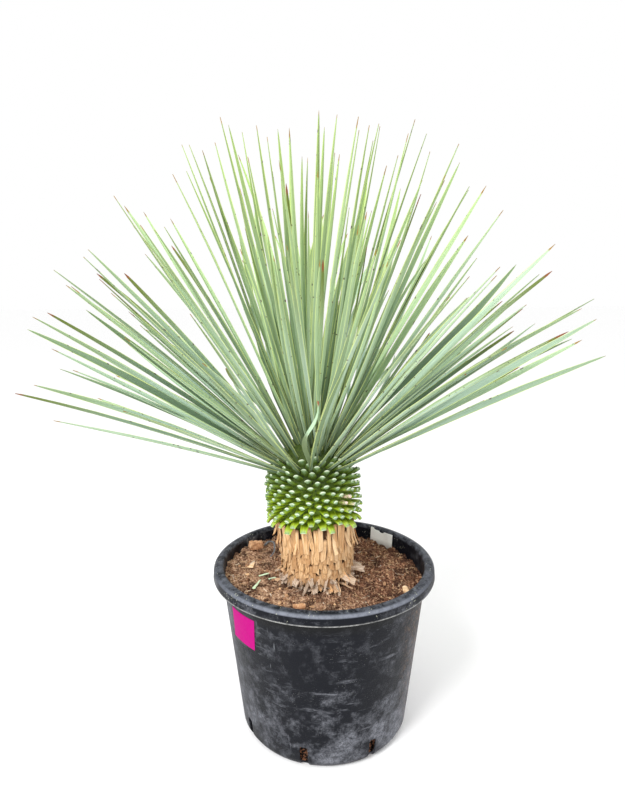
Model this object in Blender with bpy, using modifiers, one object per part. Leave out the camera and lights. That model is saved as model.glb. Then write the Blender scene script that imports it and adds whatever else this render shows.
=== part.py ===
"""Beaked yucca standing in a black nursery pot.

Metres, +Z up.  The origin is the centre of the pot's flat base, and the front of the pot faces -Y.
Angles run anticlockwise from +X, seen from above.  Neighbouring pieces keep a gap of 0.3 mm.
"""

import math
import random

import bmesh
import bpy
from mathutils import Matrix, Vector, noise
from mathutils.bvhtree import BVHTree

GAP = 0.0003
SIDES = 48
GOLDEN_ANGLE = math.radians(137.508)

# Pot
POT_HEIGHT = 0.306
RIM_RADIUS = 0.200
RIM_DEPTH = 0.020
RIM_OVERHANG = 0.016
RIM_ROUND = 0.006
RIM_INNER_ROUND = 0.003
RIM_EDGE = 0.001
RIM_FILLET = 0.003
BASE_RADIUS = 0.151
WALL = 0.003
FLOOR = 0.004
FOOT_ROUND = 0.010
SLOTS = 8
SLOT_WIDTH = 0.014
SLOT_HEIGHT = 0.036
SLOT_REACH = 0.010
FIRST_SLOT = math.radians(-103)

# Sticker on the pot's wall
STICKER_FROM = math.radians(-149.5)
STICKER_TO = math.radians(-129.5)
STICKER_LOW = 0.205
STICKER_HIGH = 0.263
STICKER_TURN = math.radians(1.1)
STICKER_THICK = 0.0004

# Soil
SOIL_LEVEL = 0.270
SOIL_RISE = 0.008
SOIL_HIGH_SIDE = math.radians(150)
SOIL_LUMPS = 0.0045
LUMPS_A_METRE = 40
SOIL_RING = 0.0155
INNER_RING = 0.050
LEVEL_REACH = 0.085
LEVEL_BLEND = 0.030
CLODS = (
    (0.122, 0.022, 0.024, 0.008),
    (0.060, 0.130, 0.022, 0.006),
    (-0.060, -0.118, 0.020, 0.005),
    (-0.150, -0.030, 0.022, 0.005),
)

# Trunk, which leans a little to the left
PLANT_X = -0.0125
PLANT_LEAN = math.radians(-2)
BURIED = 0.060
STEM_RADIUS = 0.058
HOLE_SIDES = 24
OLD_HEIGHT = 0.116
OLD_RADIUS_LOW = 0.060
OLD_RADIUS_HIGH = 0.0685
STRIP_ROWS = 3
STRIPS_A_ROW = 26
STRIP_FOOT = 0.012
STRIP_LIFT = 0.0055
STRIP_GROOVE = 0.0025
STRIP_STAGGER = 0.25
STRIP_OVERLAP = 0.27
FOOT_STEP = 0.004
SCRAPS = 26
SCRAP_LENGTH = 0.030
SCRAP_THICK = 0.0015
SCRAP_WIDTHS = (0.008, 0.014)
SCRAP_ROOTS = (0.014, 0.026)
SCRAP_ENDS = (0.0055, 0.014)
SCRAP_ARCH = 0.004
SCRAP_SUNK = 0.004

# Green band of cut leaf bases
GREEN_HEIGHT = 0.096
GREEN_RADIUS = 0.0695
STUBS = 184
STUB_LENGTH = 0.0165
STUB_WIDTH = 0.0155
STUB_TIP_WIDTH = 0.0095
STUB_THICK = 0.0070
STUB_OVER_TOP = 0.003
STUB_SUNK = 0.005
FIRST_STUB = 0.006
LAST_STUB = 0.005
HANGING_STUBS = 30
HANG_KNEE = 0.011
HANG_REACH = 0.0155
HANG_DROP = 0.017
HANG_START = 0.003
GREEN_TAPER = 0.009
GREEN_TAPER_HEIGHT = 0.020
CORE_SIDES = 18

# Leaf head
FILL_LEAVES = 210
FILL_SEED = 194
LEAF_WIDTH = 0.0172
LEAF_THICK = 0.0024
LOW_LEAF_LENGTH = 0.430
TOP_LEAF_LENGTH = 0.530
LOWEST_LEAF = math.radians(15)
HIGHER_IN_FRONT = math.radians(6)
HIGHER_ON_THE_RIGHT = math.radians(3)
FIRST_LEAF = math.radians(180)
LEAF_SPREAD = 1.2
LEAF_JITTER = 0.07
LEAF_ROLL = math.radians(14)
ROOT_RADIUS = 0.051
ROOT_LIFT = 0.0065
ROOT_RISE = 0.043
CROWN_RADIUS = 0.060
CROWN_HEIGHT = 0.057
CROWN_RISES = (0, 25, 50, 72)
FAN_CENTRE = 0.018

# Share of a leaf's length, of its width and of its thickness at each section
LEAF_STATIONS = ((0, 0.52, 1.3), (0.42, 1, 1), (0.78, 0.62, 0.75), (1, 0, 0))

# Leaves that make the outline in the front view: the fan angle in degrees, from level on the right
# over upright to level on the left, and the reach from the crown.  Each stands a little nearer to
# the viewpoint than the crown does, on the same line of sight.
OUTLINE_SEED = 1194
VIEWPOINT = Vector((0, -1.032, 0.785))
NEARER = (0.05, 0.25)
OUTLINE_LEAVES = (
    (17, 0.535), (21.5, 0.505), (22.5, 0.490), (24, 0.540), (27, 0.525), (27.5, 0.550),
    (30, 0.410), (33.5, 0.450), (36, 0.515), (37, 0.495), (39.5, 0.545), (43.5, 0.455),
    (48.5, 0.440), (50.5, 0.525), (53, 0.460), (55.5, 0.540), (58, 0.525), (61.5, 0.550),
    (62.5, 0.515), (63, 0.575), (65.5, 0.480), (68.5, 0.570), (71, 0.585), (72, 0.525),
    (73.5, 0.505), (76.5, 0.565), (78, 0.560), (80, 0.570), (82.5, 0.510), (83.5, 0.570),
    (85.5, 0.550), (86.5, 0.575), (89.5, 0.505), (91.5, 0.550), (93.5, 0.550), (95.5, 0.540),
    (97, 0.560), (99.5, 0.515), (101.5, 0.570), (102.5, 0.585), (104.5, 0.550), (107, 0.545),
    (111, 0.525), (113.5, 0.530), (120, 0.465), (122, 0.470), (124, 0.530), (125, 0.495),
    (133, 0.450), (134.5, 0.520), (137.5, 0.475), (141.5, 0.545), (142.5, 0.515), (144.5, 0.465),
    (149, 0.520), (151, 0.540), (153.5, 0.540), (158, 0.445), (163.5, 0.505), (166, 0.535),
)

# Plant label
LABEL_WIDTH = 0.054
LABEL_HEIGHT = 0.058
LABEL_THICK = 0.0012
LABEL_DEPTH = 0.026
LABEL_ANGLE = math.radians(48)
LABEL_DISTANCE = 0.1720
LABEL_LEAN = math.radians(5)
LABEL_SCOOP = 0.0035
SCOOP_START = 0.020
SCOOP_RUN = 0.006
LABEL_NOTCH = 0.006
ARC_POINTS = 4
SOIL_AT_LABEL = 0.274

# Grey hooked root that lies on the soil: a bow round its own middle, thinner towards its end
DEAD_ROOT_PLACE = (-0.1075, 0.080)
DEAD_ROOT_BOW = (0.011, 0.038)
DEAD_ROOT_RADIUS = 0.0022
DEAD_ROOT_POINTS = 7
DEAD_ROOT_FROM = math.radians(150)
DEAD_ROOT_TURN = math.radians(-35)
DEAD_ROOT_TAPER = 0.12

# Loose pieces on the soil: name, size, place, turn in degrees and the width left at the far end
CHIPS = (
    ("bark_block", (0.026, 0.018, 0.014), (-0.134, 0.086), 20, 0.85),
    ("bark_chip_left", (0.022, 0.012, 0.002), (-0.132, 0.026), 75, 0.15),
    ("bark_chip_right", (0.018, 0.010, 0.004), (0.142, -0.055), 95, 0.8),
    ("bark_chip_front", (0.020, 0.014, 0.005), (-0.040, -0.122), 10, 0.6),
)
CLIPPINGS = (
    ("leaf_clipping_1", (0.020, 0.0045, 0.0012), (-0.110, -0.002), 34, 0.8),
    ("leaf_clipping_2", (0.014, 0.0040, 0.0012), (-0.094, -0.011), 27, 0.7),
    ("leaf_clipping_3", (0.034, 0.0060, 0.0014), (-0.117, -0.045), 74, 0.3),
)


def wall_radius(height):
    """Outer radius of the pot's tapered wall at a height, upright behind the rim."""
    top = RIM_RADIUS - RIM_OVERHANG
    share = min(1, height / (POT_HEIGHT - RIM_DEPTH))
    return BASE_RADIUS + (top - BASE_RADIUS) * share


def outward(angle):
    return Vector((math.cos(angle), math.sin(angle), 0))


def sideways(angle):
    return Vector((-math.sin(angle), math.cos(angle), 0))


def collection(name):
    made = bpy.data.collections.new(name)
    bpy.context.scene.collection.children.link(made)
    return made


def move_to(made, target):
    """Put an object in the target collection alone."""
    for holder in list(made.users_collection):
        holder.objects.unlink(made)
    target.objects.link(made)


def link_mesh(name, bm, target):
    """Turn a finished bmesh into an object in the collection."""
    bmesh.ops.recalc_face_normals(bm, faces=bm.faces[:])
    mesh = bpy.data.meshes.new(name)
    bm.to_mesh(mesh)
    bm.free()
    made = bpy.data.objects.new(name, mesh)
    target.objects.link(made)
    return made


def loft(name, sections, target, point=None):
    """Skin matching sections of unlike size, closed at both ends, or ending in a point."""
    bm = bmesh.new()
    rows = [[bm.verts.new(corner) for corner in section] for section in sections]
    count = len(rows[0])
    bm.faces.new(rows[0])
    for near, far in zip(rows, rows[1:]):
        for i in range(count):
            j = (i + 1) % count
            bm.faces.new((near[i], near[j], far[j], far[i]))
    if point is None:
        bm.faces.new(rows[-1])
    else:
        end = bm.verts.new(point)
        for i in range(count):
            bm.faces.new((rows[-1][i], rows[-1][(i + 1) % count], end))
    bmesh.ops.triangulate(bm, faces=[face for face in bm.faces if len(face.verts) == 4])
    return link_mesh(name, bm, target)


def turned(name, profile, target):
    """A profile of radius and height pairs, turned about Z by a Screw modifier."""
    bm = bmesh.new()
    points = [bm.verts.new((radius, 0, height)) for radius, height in profile]
    for near, far in zip(points, points[1:]):
        bm.edges.new((near, far))
    mesh = bpy.data.meshes.new(name)
    bm.to_mesh(mesh)
    bm.free()
    made = bpy.data.objects.new(name, mesh)
    target.objects.link(made)
    screw = made.modifiers.new("turn", "SCREW")
    screw.steps = SIDES
    screw.render_steps = SIDES
    screw.use_merge_vertices = True
    screw.merge_threshold = 0.00001
    return made


def bake(made):
    """Replace an object's mesh by the result of its modifiers."""
    graph = bpy.context.evaluated_depsgraph_get()
    mesh = bpy.data.meshes.new_from_object(made.evaluated_get(graph))
    made.modifiers.clear()
    made.data = mesh


def cut(made, cutters):
    """Cut a collection of closed cutters out of an object."""
    for cutter in cutters.objects:
        cutter.hide_render = True
        cutter.display_type = "WIRE"
    change = made.modifiers.new("cut", "BOOLEAN")
    change.operation = "DIFFERENCE"
    change.operand_type = "COLLECTION"
    change.collection = cutters
    change.solver = "EXACT"


def keep_largest_body(made):
    """Fill the hollows that a union sealed and drop its loose scraps."""
    bm = bmesh.new()
    bm.from_mesh(made.data)
    unseen = set(bm.verts)
    bodies = []
    while unseen:
        start = unseen.pop()
        body = [start]
        for corner in body:
            for edge in corner.link_edges:
                other = edge.other_vert(corner)
                if other in unseen:
                    unseen.remove(other)
                    body.append(other)
        bodies.append(body)
    bodies.sort(key=len)
    for body in bodies[:-1]:
        bmesh.ops.delete(bm, geom=body, context="VERTS")
    bm.to_mesh(made.data)
    bm.free()


def fuse(core, repeats):
    """Join the repeats of a collection to the core that they grow from, and remove them."""
    join = core.modifiers.new("join", "BOOLEAN")
    join.operation = "UNION"
    join.operand_type = "COLLECTION"
    join.collection = repeats
    join.solver = "EXACT"
    bake(core)
    for repeat in list(repeats.objects):
        bpy.data.objects.remove(repeat)
    bpy.data.collections.remove(repeats)
    keep_largest_body(core)


def material(name, colour, roughness):
    made = bpy.data.materials.new(name)
    made.use_nodes = True
    shader = made.node_tree.nodes["Principled BSDF"]
    shader.inputs["Base Color"].default_value = (*colour, 1)
    shader.inputs["Roughness"].default_value = roughness
    shader.inputs["Metallic"].default_value = 0
    return made


def paint(made, painted):
    made.data.materials.clear()
    made.data.materials.append(painted)


def ring(radius, height, sides):
    return [outward(2 * math.pi * i / sides) * radius + Vector((0, 0, height)) for i in range(sides)]


def blade_section(centre, along, side, width, thick):
    """A three-sided section: a flat upper face and a keel below."""
    up = along.cross(side).normalized()
    if up.z < 0:
        up = -up
    return [
        centre + side * width / 2 + up * thick / 3,
        centre - side * width / 2 + up * thick / 3,
        centre - up * thick * 2 / 3,
    ]


def strip_section(centre, out, side, width, thick):
    """A flat four-sided section that lies against the trunk."""
    return [
        centre + side * width / 2 + out * thick / 2,
        centre - side * width / 2 + out * thick / 2,
        centre - side * width / 2 - out * thick / 2,
        centre + side * width / 2 - out * thick / 2,
    ]


def make_pot(target):
    """Turned shell with a rolled rim, cut by the drain slots at its foot."""
    rim_low = POT_HEIGHT - RIM_DEPTH
    inner_top = wall_radius(rim_low) - WALL
    profile = (
        (0, FLOOR),
        (BASE_RADIUS - WALL - FOOT_ROUND, FLOOR),
        (wall_radius(FLOOR + FOOT_ROUND) - WALL, FLOOR + FOOT_ROUND),
        (inner_top, rim_low),
        (inner_top + RIM_INNER_ROUND / 3, POT_HEIGHT - RIM_INNER_ROUND * 2 / 3),
        (inner_top + RIM_INNER_ROUND, POT_HEIGHT),
        (RIM_RADIUS - RIM_ROUND, POT_HEIGHT - RIM_ROUND / 6),
        (RIM_RADIUS - RIM_ROUND / 3, POT_HEIGHT - RIM_ROUND / 2),
        (RIM_RADIUS, POT_HEIGHT - RIM_ROUND * 4 / 3),
        (RIM_RADIUS, rim_low + RIM_EDGE),
        (RIM_RADIUS - RIM_EDGE, rim_low),
        (wall_radius(rim_low - RIM_FILLET), rim_low - RIM_FILLET),
        (wall_radius(FOOT_ROUND), FOOT_ROUND),
        (BASE_RADIUS - 0.3 * FOOT_ROUND, 0.3 * FOOT_ROUND),
        (BASE_RADIUS - FOOT_ROUND, 0),
        (0, 0),
    )
    pot = turned("pot", profile, target)
    cutters = collection("slot_cutters")
    for k in range(SLOTS):
        angle = FIRST_SLOT + 2 * math.pi * k / SLOTS
        bpy.ops.mesh.primitive_cube_add(size=1)
        box = bpy.context.object
        box.name = "slot_cutter_%d" % (k + 1)
        box.dimensions = (4 * SLOT_REACH, SLOT_WIDTH, 2 * SLOT_HEIGHT)
        box.location = outward(angle) * (BASE_RADIUS + SLOT_REACH)
        box.rotation_euler.z = angle
        move_to(box, cutters)
    cut(pot, cutters)
    bake(pot)
    for face in pot.data.polygons:
        face.use_smooth = True
    pot.data.set_sharp_from_angle(angle=math.radians(35))
    return pot


def soil_height(x, y):
    """Height of the soil: level at the trunk, uneven further out, and higher along the wall."""
    distance = math.hypot(x, y)
    angle = math.atan2(y, x)
    away = min(1, max(0, (math.hypot(x - PLANT_X, y) - LEVEL_REACH) / LEVEL_BLEND))
    rise = SOIL_RISE * (1 + math.cos(angle - SOIL_HIGH_SIDE)) * (distance / wall_radius(SOIL_LEVEL)) ** 3
    height = SOIL_LEVEL + away * rise
    height += away * SOIL_LUMPS * noise.noise(Vector((x, y, 0)) * LUMPS_A_METRE)
    for clod_x, clod_y, reach, rise in CLODS:
        near = max(0, 1 - math.hypot(x - clod_x, y - clod_y) / reach)
        height += away * rise * near
    return height


def make_soil(target, plant_axis):
    """Fills the pot, with a plain hole for the trunk and a slot for the label."""
    foot = FLOOR + FOOT_ROUND
    wall_top = wall_radius(SOIL_LEVEL) - WALL - 2 * GAP
    ring_count = int((wall_top - INNER_RING) / SOIL_RING) + 1
    rings = [wall_top - SOIL_RING * k for k in range(ring_count)]
    profile = [(0, SOIL_LEVEL)]
    profile += [(radius, SOIL_LEVEL) for radius in reversed(rings)]
    profile += [
        (wall_radius(foot) - WALL - 2 * GAP, foot),
        (BASE_RADIUS - WALL - FOOT_ROUND - GAP, FLOOR + GAP),
        (0, FLOOR + GAP),
    ]
    soil = turned("soil", profile, target)
    bake(soil)
    for corner in soil.data.vertices:
        if corner.co.z > SOIL_LEVEL - GAP:
            corner.co.z = soil_height(corner.co.x, corner.co.y)
            reach = math.hypot(corner.co.x, corner.co.y)
            if reach > wall_top - GAP:
                wider = (wall_radius(corner.co.z) - WALL - 2 * GAP) / reach
                corner.co.x *= wider
                corner.co.y *= wider
    cutters = collection("soil_cutters")
    hole_radius = (STEM_RADIUS + GAP) / math.cos(math.pi / HOLE_SIDES)
    hole_foot = ring(hole_radius, -BURIED - GAP, HOLE_SIDES)
    hole = loft("trunk_hole", (hole_foot, ring(hole_radius, 4 * SOIL_RISE, HOLE_SIDES)), cutters)
    hole.parent = plant_axis
    bpy.ops.mesh.primitive_cube_add(size=1)
    slot = bpy.context.object
    slot.name = "label_slot"
    slot.dimensions = (LABEL_THICK + 2 * GAP, LABEL_WIDTH + 2 * GAP, 2 * LABEL_HEIGHT + 2 * GAP)
    place_label(slot, LABEL_HEIGHT)
    move_to(slot, cutters)
    bpy.context.view_layer.update()
    cut(soil, cutters)
    bake(soil)
    return soil


def place_label(made, lift):
    """Stand an object in the label's place, its origin a lift above the label's lower edge."""
    foot = outward(LABEL_ANGLE) * LABEL_DISTANCE
    foot.z = SOIL_AT_LABEL - LABEL_DEPTH
    made.rotation_euler = (0, LABEL_LEAN, LABEL_ANGLE)
    lean = Vector((math.sin(LABEL_LEAN), 0, math.cos(LABEL_LEAN)))
    made.location = foot + Matrix.Rotation(LABEL_ANGLE, 3, "Z") @ lean * lift


def make_label(target):
    """Thin plate, its top edge scooped between the corners and notched in the scoop."""
    half = LABEL_WIDTH / 2
    scooped = LABEL_HEIGHT - LABEL_SCOOP
    outline = [(-half, 0), (half, 0), (half, scooped)]
    for k in range(ARC_POINTS + 1):
        turn = math.pi * k / ARC_POINTS
        outline.append((LABEL_NOTCH * math.cos(turn), scooped - LABEL_NOTCH / 2 * math.sin(turn)))
    for k in range(ARC_POINTS):
        turn = math.pi / 2 * k / (ARC_POINTS - 1)
        across = SCOOP_RUN - SCOOP_START - SCOOP_RUN * math.sin(turn)
        outline.append((across, LABEL_HEIGHT - LABEL_SCOOP * math.cos(turn)))
    outline.append((-half, LABEL_HEIGHT))
    curve = bpy.data.curves.new("plant_label", "CURVE")
    curve.dimensions = "2D"
    curve.fill_mode = "BOTH"
    curve.extrude = LABEL_THICK / 2
    spline = curve.splines.new("POLY")
    spline.points.add(len(outline) - 1)
    for point, (across, up) in zip(spline.points, outline):
        point.co = (across, up, 0, 1)
    spline.use_cyclic_u = True
    flat = bpy.data.objects.new("label_outline", curve)
    target.objects.link(flat)
    graph = bpy.context.evaluated_depsgraph_get()
    mesh = bpy.data.meshes.new_from_object(flat.evaluated_get(graph))
    bpy.data.objects.remove(flat)
    bm = bmesh.new()
    bm.from_mesh(mesh)
    bmesh.ops.remove_doubles(bm, verts=bm.verts[:], dist=0.00001)
    bmesh.ops.rotate(bm, verts=bm.verts[:], matrix=Matrix.Rotation(math.radians(90), 3, "X"))
    bmesh.ops.rotate(bm, verts=bm.verts[:], matrix=Matrix.Rotation(math.radians(-90), 3, "Z"))
    label = link_mesh("plant_label", bm, target)
    place_label(label, 0)
    return label


def make_sticker(target):
    """Thin skin on the flats of the pot's wall, with each corner a little turned."""
    step = 2 * math.pi / SIDES
    flats = [k * step for k in range(-SIDES, SIDES) if STICKER_FROM < k * step < STICKER_TO]

    def on_wall(angle, height, lift):
        middle = (math.floor(angle / step) + 0.5) * step
        flat_radius = wall_radius(height) * math.cos(step / 2) / math.cos(angle - middle)
        return outward(angle) * (flat_radius + lift) + Vector((0, 0, height))

    sections = []
    for angle in [STICKER_FROM] + flats + [STICKER_TO]:
        turn = STICKER_TURN if angle in (STICKER_FROM, STICKER_TO) else 0
        low, high = angle - turn, angle + turn
        sections.append(
            (
                on_wall(low, STICKER_LOW, GAP),
                on_wall(high, STICKER_HIGH, GAP),
                on_wall(high, STICKER_HIGH, GAP + STICKER_THICK),
                on_wall(low, STICKER_LOW, GAP + STICKER_THICK),
            )
        )
    return loft("sticker", sections, target)


def old_radius(height):
    return OLD_RADIUS_LOW + (OLD_RADIUS_HIGH - OLD_RADIUS_LOW) * height / OLD_HEIGHT


def strip_rings(draw):
    """Outlines from the foot up: strips three columns wide, whose free lower ends stand off."""
    columns = 3 * STRIPS_A_ROW
    row_height = (OLD_HEIGHT - STRIP_FOOT) / STRIP_ROWS
    rings = []
    for row in range(STRIP_ROWS):
        ends = [draw.uniform(0, 1) for _ in range(STRIPS_A_ROW)]
        for high, lift in ((0, STRIP_LIFT), (1, 0)):
            outline = []
            for column in range(columns):
                strip = (column + 2 * row) // 3 % STRIPS_A_ROW
                in_groove = (column + 2 * row) % 3 == 0
                height = STRIP_FOOT + row_height * (row + high)
                if row + high < STRIP_ROWS:
                    height += row_height * (STRIP_STAGGER * ends[strip] - STRIP_OVERLAP * high)
                else:
                    height = OLD_HEIGHT - GAP
                radius = old_radius(height) + lift * (0.6 + 0.6 * ends[strip])
                if in_groove:
                    radius = old_radius(height) - STRIP_GROOVE
                outline.append(outward(2 * math.pi * column / columns) * radius + Vector((0, 0, height)))
            rings.append(outline)
    return rings


def make_old_trunk(target, plant_axis):
    """Brown part: strips of dead leaf bases hang in rows, over a frayed skirt at the soil."""
    draw = random.Random(5)
    columns = 3 * STRIPS_A_ROW
    foot = [ring(STEM_RADIUS, -BURIED, columns), ring(STEM_RADIUS, STRIP_FOOT - FOOT_STEP, columns)]
    core = loft("trunk_old_bases", foot + strip_rings(draw), target)
    repeats = collection("old_repeats")
    for k in range(SCRAPS):
        angle = 2 * math.pi * (k + draw.uniform(-0.3, 0.3)) / SCRAPS
        turn = angle + draw.uniform(-0.35, 0.35)
        root = outward(angle) * (OLD_RADIUS_LOW - SCRAP_SUNK)
        root.z = draw.uniform(*SCRAP_ROOTS)
        length = SCRAP_LENGTH * draw.uniform(0.6, 1.2)
        end_height = draw.uniform(*SCRAP_ENDS)
        knee = root + outward(turn) * length * 0.55
        knee.z = (root.z + end_height) / 2 + SCRAP_ARCH
        end = root + outward(turn) * length
        end.z = end_height
        width = draw.uniform(*SCRAP_WIDTHS)
        sections = []
        for centre, share in ((root, 1), (knee, draw.uniform(0.8, 1.2)), (end, draw.uniform(0.3, 0.8))):
            up = Vector((0, 0, 1))
            sections.append(strip_section(centre, up, sideways(turn), width * share, SCRAP_THICK))
        loft("scrap", sections, repeats)
    fuse(core, repeats)
    core.parent = plant_axis
    return core


def stub_pitch(share):
    """Slope of a cut leaf base above level: hanging at the bottom, rising at the top."""
    return math.radians(-18 + 52 * share)


def green_radius(height):
    """Radius of the green part's core, which draws in just under the crown."""
    below_top = OLD_HEIGHT + GREEN_HEIGHT - height
    return GREEN_RADIUS - GREEN_TAPER * max(0, 1 - below_top / GREEN_TAPER_HEIGHT)


def make_green_band(target, plant_axis):
    """Green part: cut leaf bases stand out in spiral rows at the golden angle."""
    draw = random.Random(8)
    low = OLD_HEIGHT
    top = OLD_HEIGHT + GREEN_HEIGHT - GAP
    core = loft(
        "trunk_green_bases",
        (
            ring(GREEN_RADIUS, low, CORE_SIDES),
            ring(GREEN_RADIUS, top - GREEN_TAPER_HEIGHT, CORE_SIDES),
            ring(GREEN_RADIUS - GREEN_TAPER, top, CORE_SIDES),
        ),
        target,
    )
    repeats = collection("green_repeats")
    for i in range(STUBS):
        share = (i + 0.5) / STUBS
        angle = i * GOLDEN_ANGLE + draw.uniform(-0.04, 0.04)
        out = outward(angle)
        side = sideways(angle)
        height = low + FIRST_STUB + (GREEN_HEIGHT - FIRST_STUB - LAST_STUB) * share
        pitch = stub_pitch(share) + math.radians(draw.uniform(-5, 5))
        along = out * math.cos(pitch) + Vector((0, 0, math.sin(pitch)))
        length = STUB_LENGTH * draw.uniform(0.88, 1.08)
        root = out * (green_radius(height) - STUB_SUNK) + Vector((0, 0, height))
        tip_width = STUB_TIP_WIDTH * draw.uniform(0.85, 1.15)
        sections = [blade_section(root, along, side, STUB_WIDTH, STUB_THICK)]
        if i < HANGING_STUBS:
            drop = HANG_START + (1 - i / HANGING_STUBS) * HANG_DROP
            knee = out * (GREEN_RADIUS + HANG_KNEE) + Vector((0, 0, height))
            tip = out * (GREEN_RADIUS + HANG_REACH) + Vector((0, 0, height - drop))
            sections.append(blade_section(knee, out, side, STUB_WIDTH * 0.85, STUB_THICK * 0.8))
            across = (tip - knee).normalized().cross(side)
            if across.dot(out) < 0:
                across = -across
            sections.append(
                [
                    tip + side * tip_width / 2 + across * 0.002,
                    tip - side * tip_width / 2 + across * 0.002,
                    tip - across * 0.001,
                ]
            )
        else:
            tip = root + along * (length + STUB_SUNK)
            tip.z = min(tip.z, top + STUB_OVER_TOP)
            sections.append(blade_section(tip, along, side, tip_width, STUB_THICK * 0.65))
        loft("stub", sections, repeats)
    fuse(core, repeats)
    core.parent = plant_axis
    return core


def leaf_root(angle, rise):
    """Where a leaf of this direction and slope leaves the crown."""
    root = outward(angle) * ROOT_RADIUS * math.cos(rise) ** 0.8
    root.z = OLD_HEIGHT + GREEN_HEIGHT + ROOT_LIFT + ROOT_RISE * math.sin(rise)
    return root


def fill_leaves():
    """Leaves at the golden angle, from the lowest out to the upright middle, in plant axes.

    Every other one of the front half is left out, where the outline leaves stand.
    """
    draw = random.Random(FILL_SEED)
    leaves = []
    for i in range(FILL_LEAVES):
        share = (i + 0.5) / FILL_LEAVES
        angle = FIRST_LEAF + i * GOLDEN_ANGLE + draw.uniform(-LEAF_JITTER, LEAF_JITTER)
        lowest = LOWEST_LEAF + HIGHER_IN_FRONT * max(0, -math.sin(angle)) ** 2
        lowest += HIGHER_ON_THE_RIGHT * math.cos(angle)
        level = math.sin(lowest) + (1 - math.sin(lowest)) * share ** LEAF_SPREAD
        rise = math.asin(level) + math.radians(draw.uniform(-1, 3) * (1 - share))
        length = LOW_LEAF_LENGTH + (TOP_LEAF_LENGTH - LOW_LEAF_LENGTH) * math.sin(rise) ** 1.5
        length *= draw.uniform(0.8, 1)
        droop = math.radians(draw.uniform(-1, 4)) * math.cos(rise)
        roll = draw.gauss(0, LEAF_ROLL)
        width = LEAF_WIDTH * draw.uniform(0.85, 1.05)
        if i % 2 == 0 or math.sin(angle) > 0:
            leaves.append((angle, rise, length, droop, roll, width))
    return leaves


def outline_leaves(viewpoint):
    """The measured leaves, moved towards the viewpoint along their lines of sight."""
    draw = random.Random(OUTLINE_SEED)
    crown = Vector((0, 0, OLD_HEIGHT + GREEN_HEIGHT + FAN_CENTRE))
    leaves = []
    for fan, reach in OUTLINE_LEAVES:
        fan_angle = math.radians(fan)
        tip = crown + reach * Vector((math.cos(fan_angle), 0, math.sin(fan_angle)))
        tip = tip.lerp(viewpoint, draw.uniform(*NEARER))
        angle = math.atan2(tip.y, tip.x)
        first_rise = math.atan2(tip.z - crown.z, math.hypot(tip.x, tip.y))
        run = tip - leaf_root(angle, first_rise)
        rise = math.atan2(run.z, math.hypot(run.x, run.y))
        droop = math.radians(draw.uniform(0, 4)) * math.cos(rise)
        roll = draw.gauss(0, LEAF_ROLL)
        width = LEAF_WIDTH * draw.uniform(0.9, 1.08)
        leaves.append((angle, rise, run.length, droop, roll, width))
    return leaves


def leaf_sections(angle, rise, length, droop, roll, width):
    """Sections and tip of one leaf, which bends down by its droop towards the tip."""
    out = outward(angle)
    side = sideways(angle)
    place = leaf_root(angle, rise)
    before = 0
    sections = []
    for share, wide, thick in LEAF_STATIONS:
        slope = rise + droop / 2 - droop * (share + before) / 2
        along = out * math.cos(slope) + Vector((0, 0, math.sin(slope)))
        place = place + along * (share - before) * length
        before = share
        up = side.cross(along)
        half = (side * math.cos(roll) + up * math.sin(roll)) * width * wide / 2
        keel = (up * math.cos(roll) - side * math.sin(roll)) * LEAF_THICK * thick
        if wide:
            sections.append((place + half - keel / 3, place - half - keel / 3, place + keel * 2 / 3))
    return sections, place


def make_leaf_head(target, plant_axis):
    """Rosette of narrow stiff leaves on a low dome, the crown that they grow from."""
    base = OLD_HEIGHT + GREEN_HEIGHT
    rings = []
    for rise in CROWN_RISES:
        bend = math.radians(rise)
        height = base + CROWN_HEIGHT * math.sin(bend)
        rings.append(ring(CROWN_RADIUS * math.cos(bend), height, CORE_SIDES))
    core = loft("leaf_head", rings, target, Vector((0, 0, base + CROWN_HEIGHT)))
    repeats = collection("leaf_repeats")
    for leaf in fill_leaves() + outline_leaves(plant_axis.matrix_world.inverted() @ VIEWPOINT):
        sections, tip = leaf_sections(*leaf)
        loft("leaf", sections, repeats, tip)
    fuse(core, repeats)
    core.parent = plant_axis
    return core


def surface(made, lift):
    """Search tree of an object's triangles in world space, raised by a lift."""
    bm = bmesh.new()
    bm.from_mesh(made.data)
    bmesh.ops.triangulate(bm, faces=bm.faces[:])
    bmesh.ops.transform(bm, matrix=Matrix.Translation((0, 0, lift)) @ made.matrix_world, verts=bm.verts[:])
    tree = BVHTree.FromBMesh(bm)
    bm.free()
    return tree


def settle(made, soil):
    """Lower a loose piece in small steps until it would touch the soil a gap further down."""
    bpy.context.view_layer.update()
    ground = surface(soil, 0)
    drop = 0
    while not surface(made, -drop - GAP).overlap(ground):
        drop += GAP
    made.location.z -= drop - GAP
    bpy.context.view_layer.update()


def make_loose_piece(name, size, place, turn, taper, soil, target):
    """A chip, block or clipping: a box with one end drawn in, laid on the soil."""
    bpy.ops.mesh.primitive_cube_add(size=1)
    made = bpy.context.object
    made.name = name
    made.data.name = name
    for corner in made.data.vertices:
        narrow = taper if corner.co.x > 0 else 1
        corner.co = Vector((corner.co.x * size[0], corner.co.y * size[1] * narrow, corner.co.z * size[2]))
    made.location = (place[0], place[1], POT_HEIGHT)
    made.rotation_euler.z = math.radians(turn)
    move_to(made, target)
    settle(made, soil)
    return made


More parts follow.
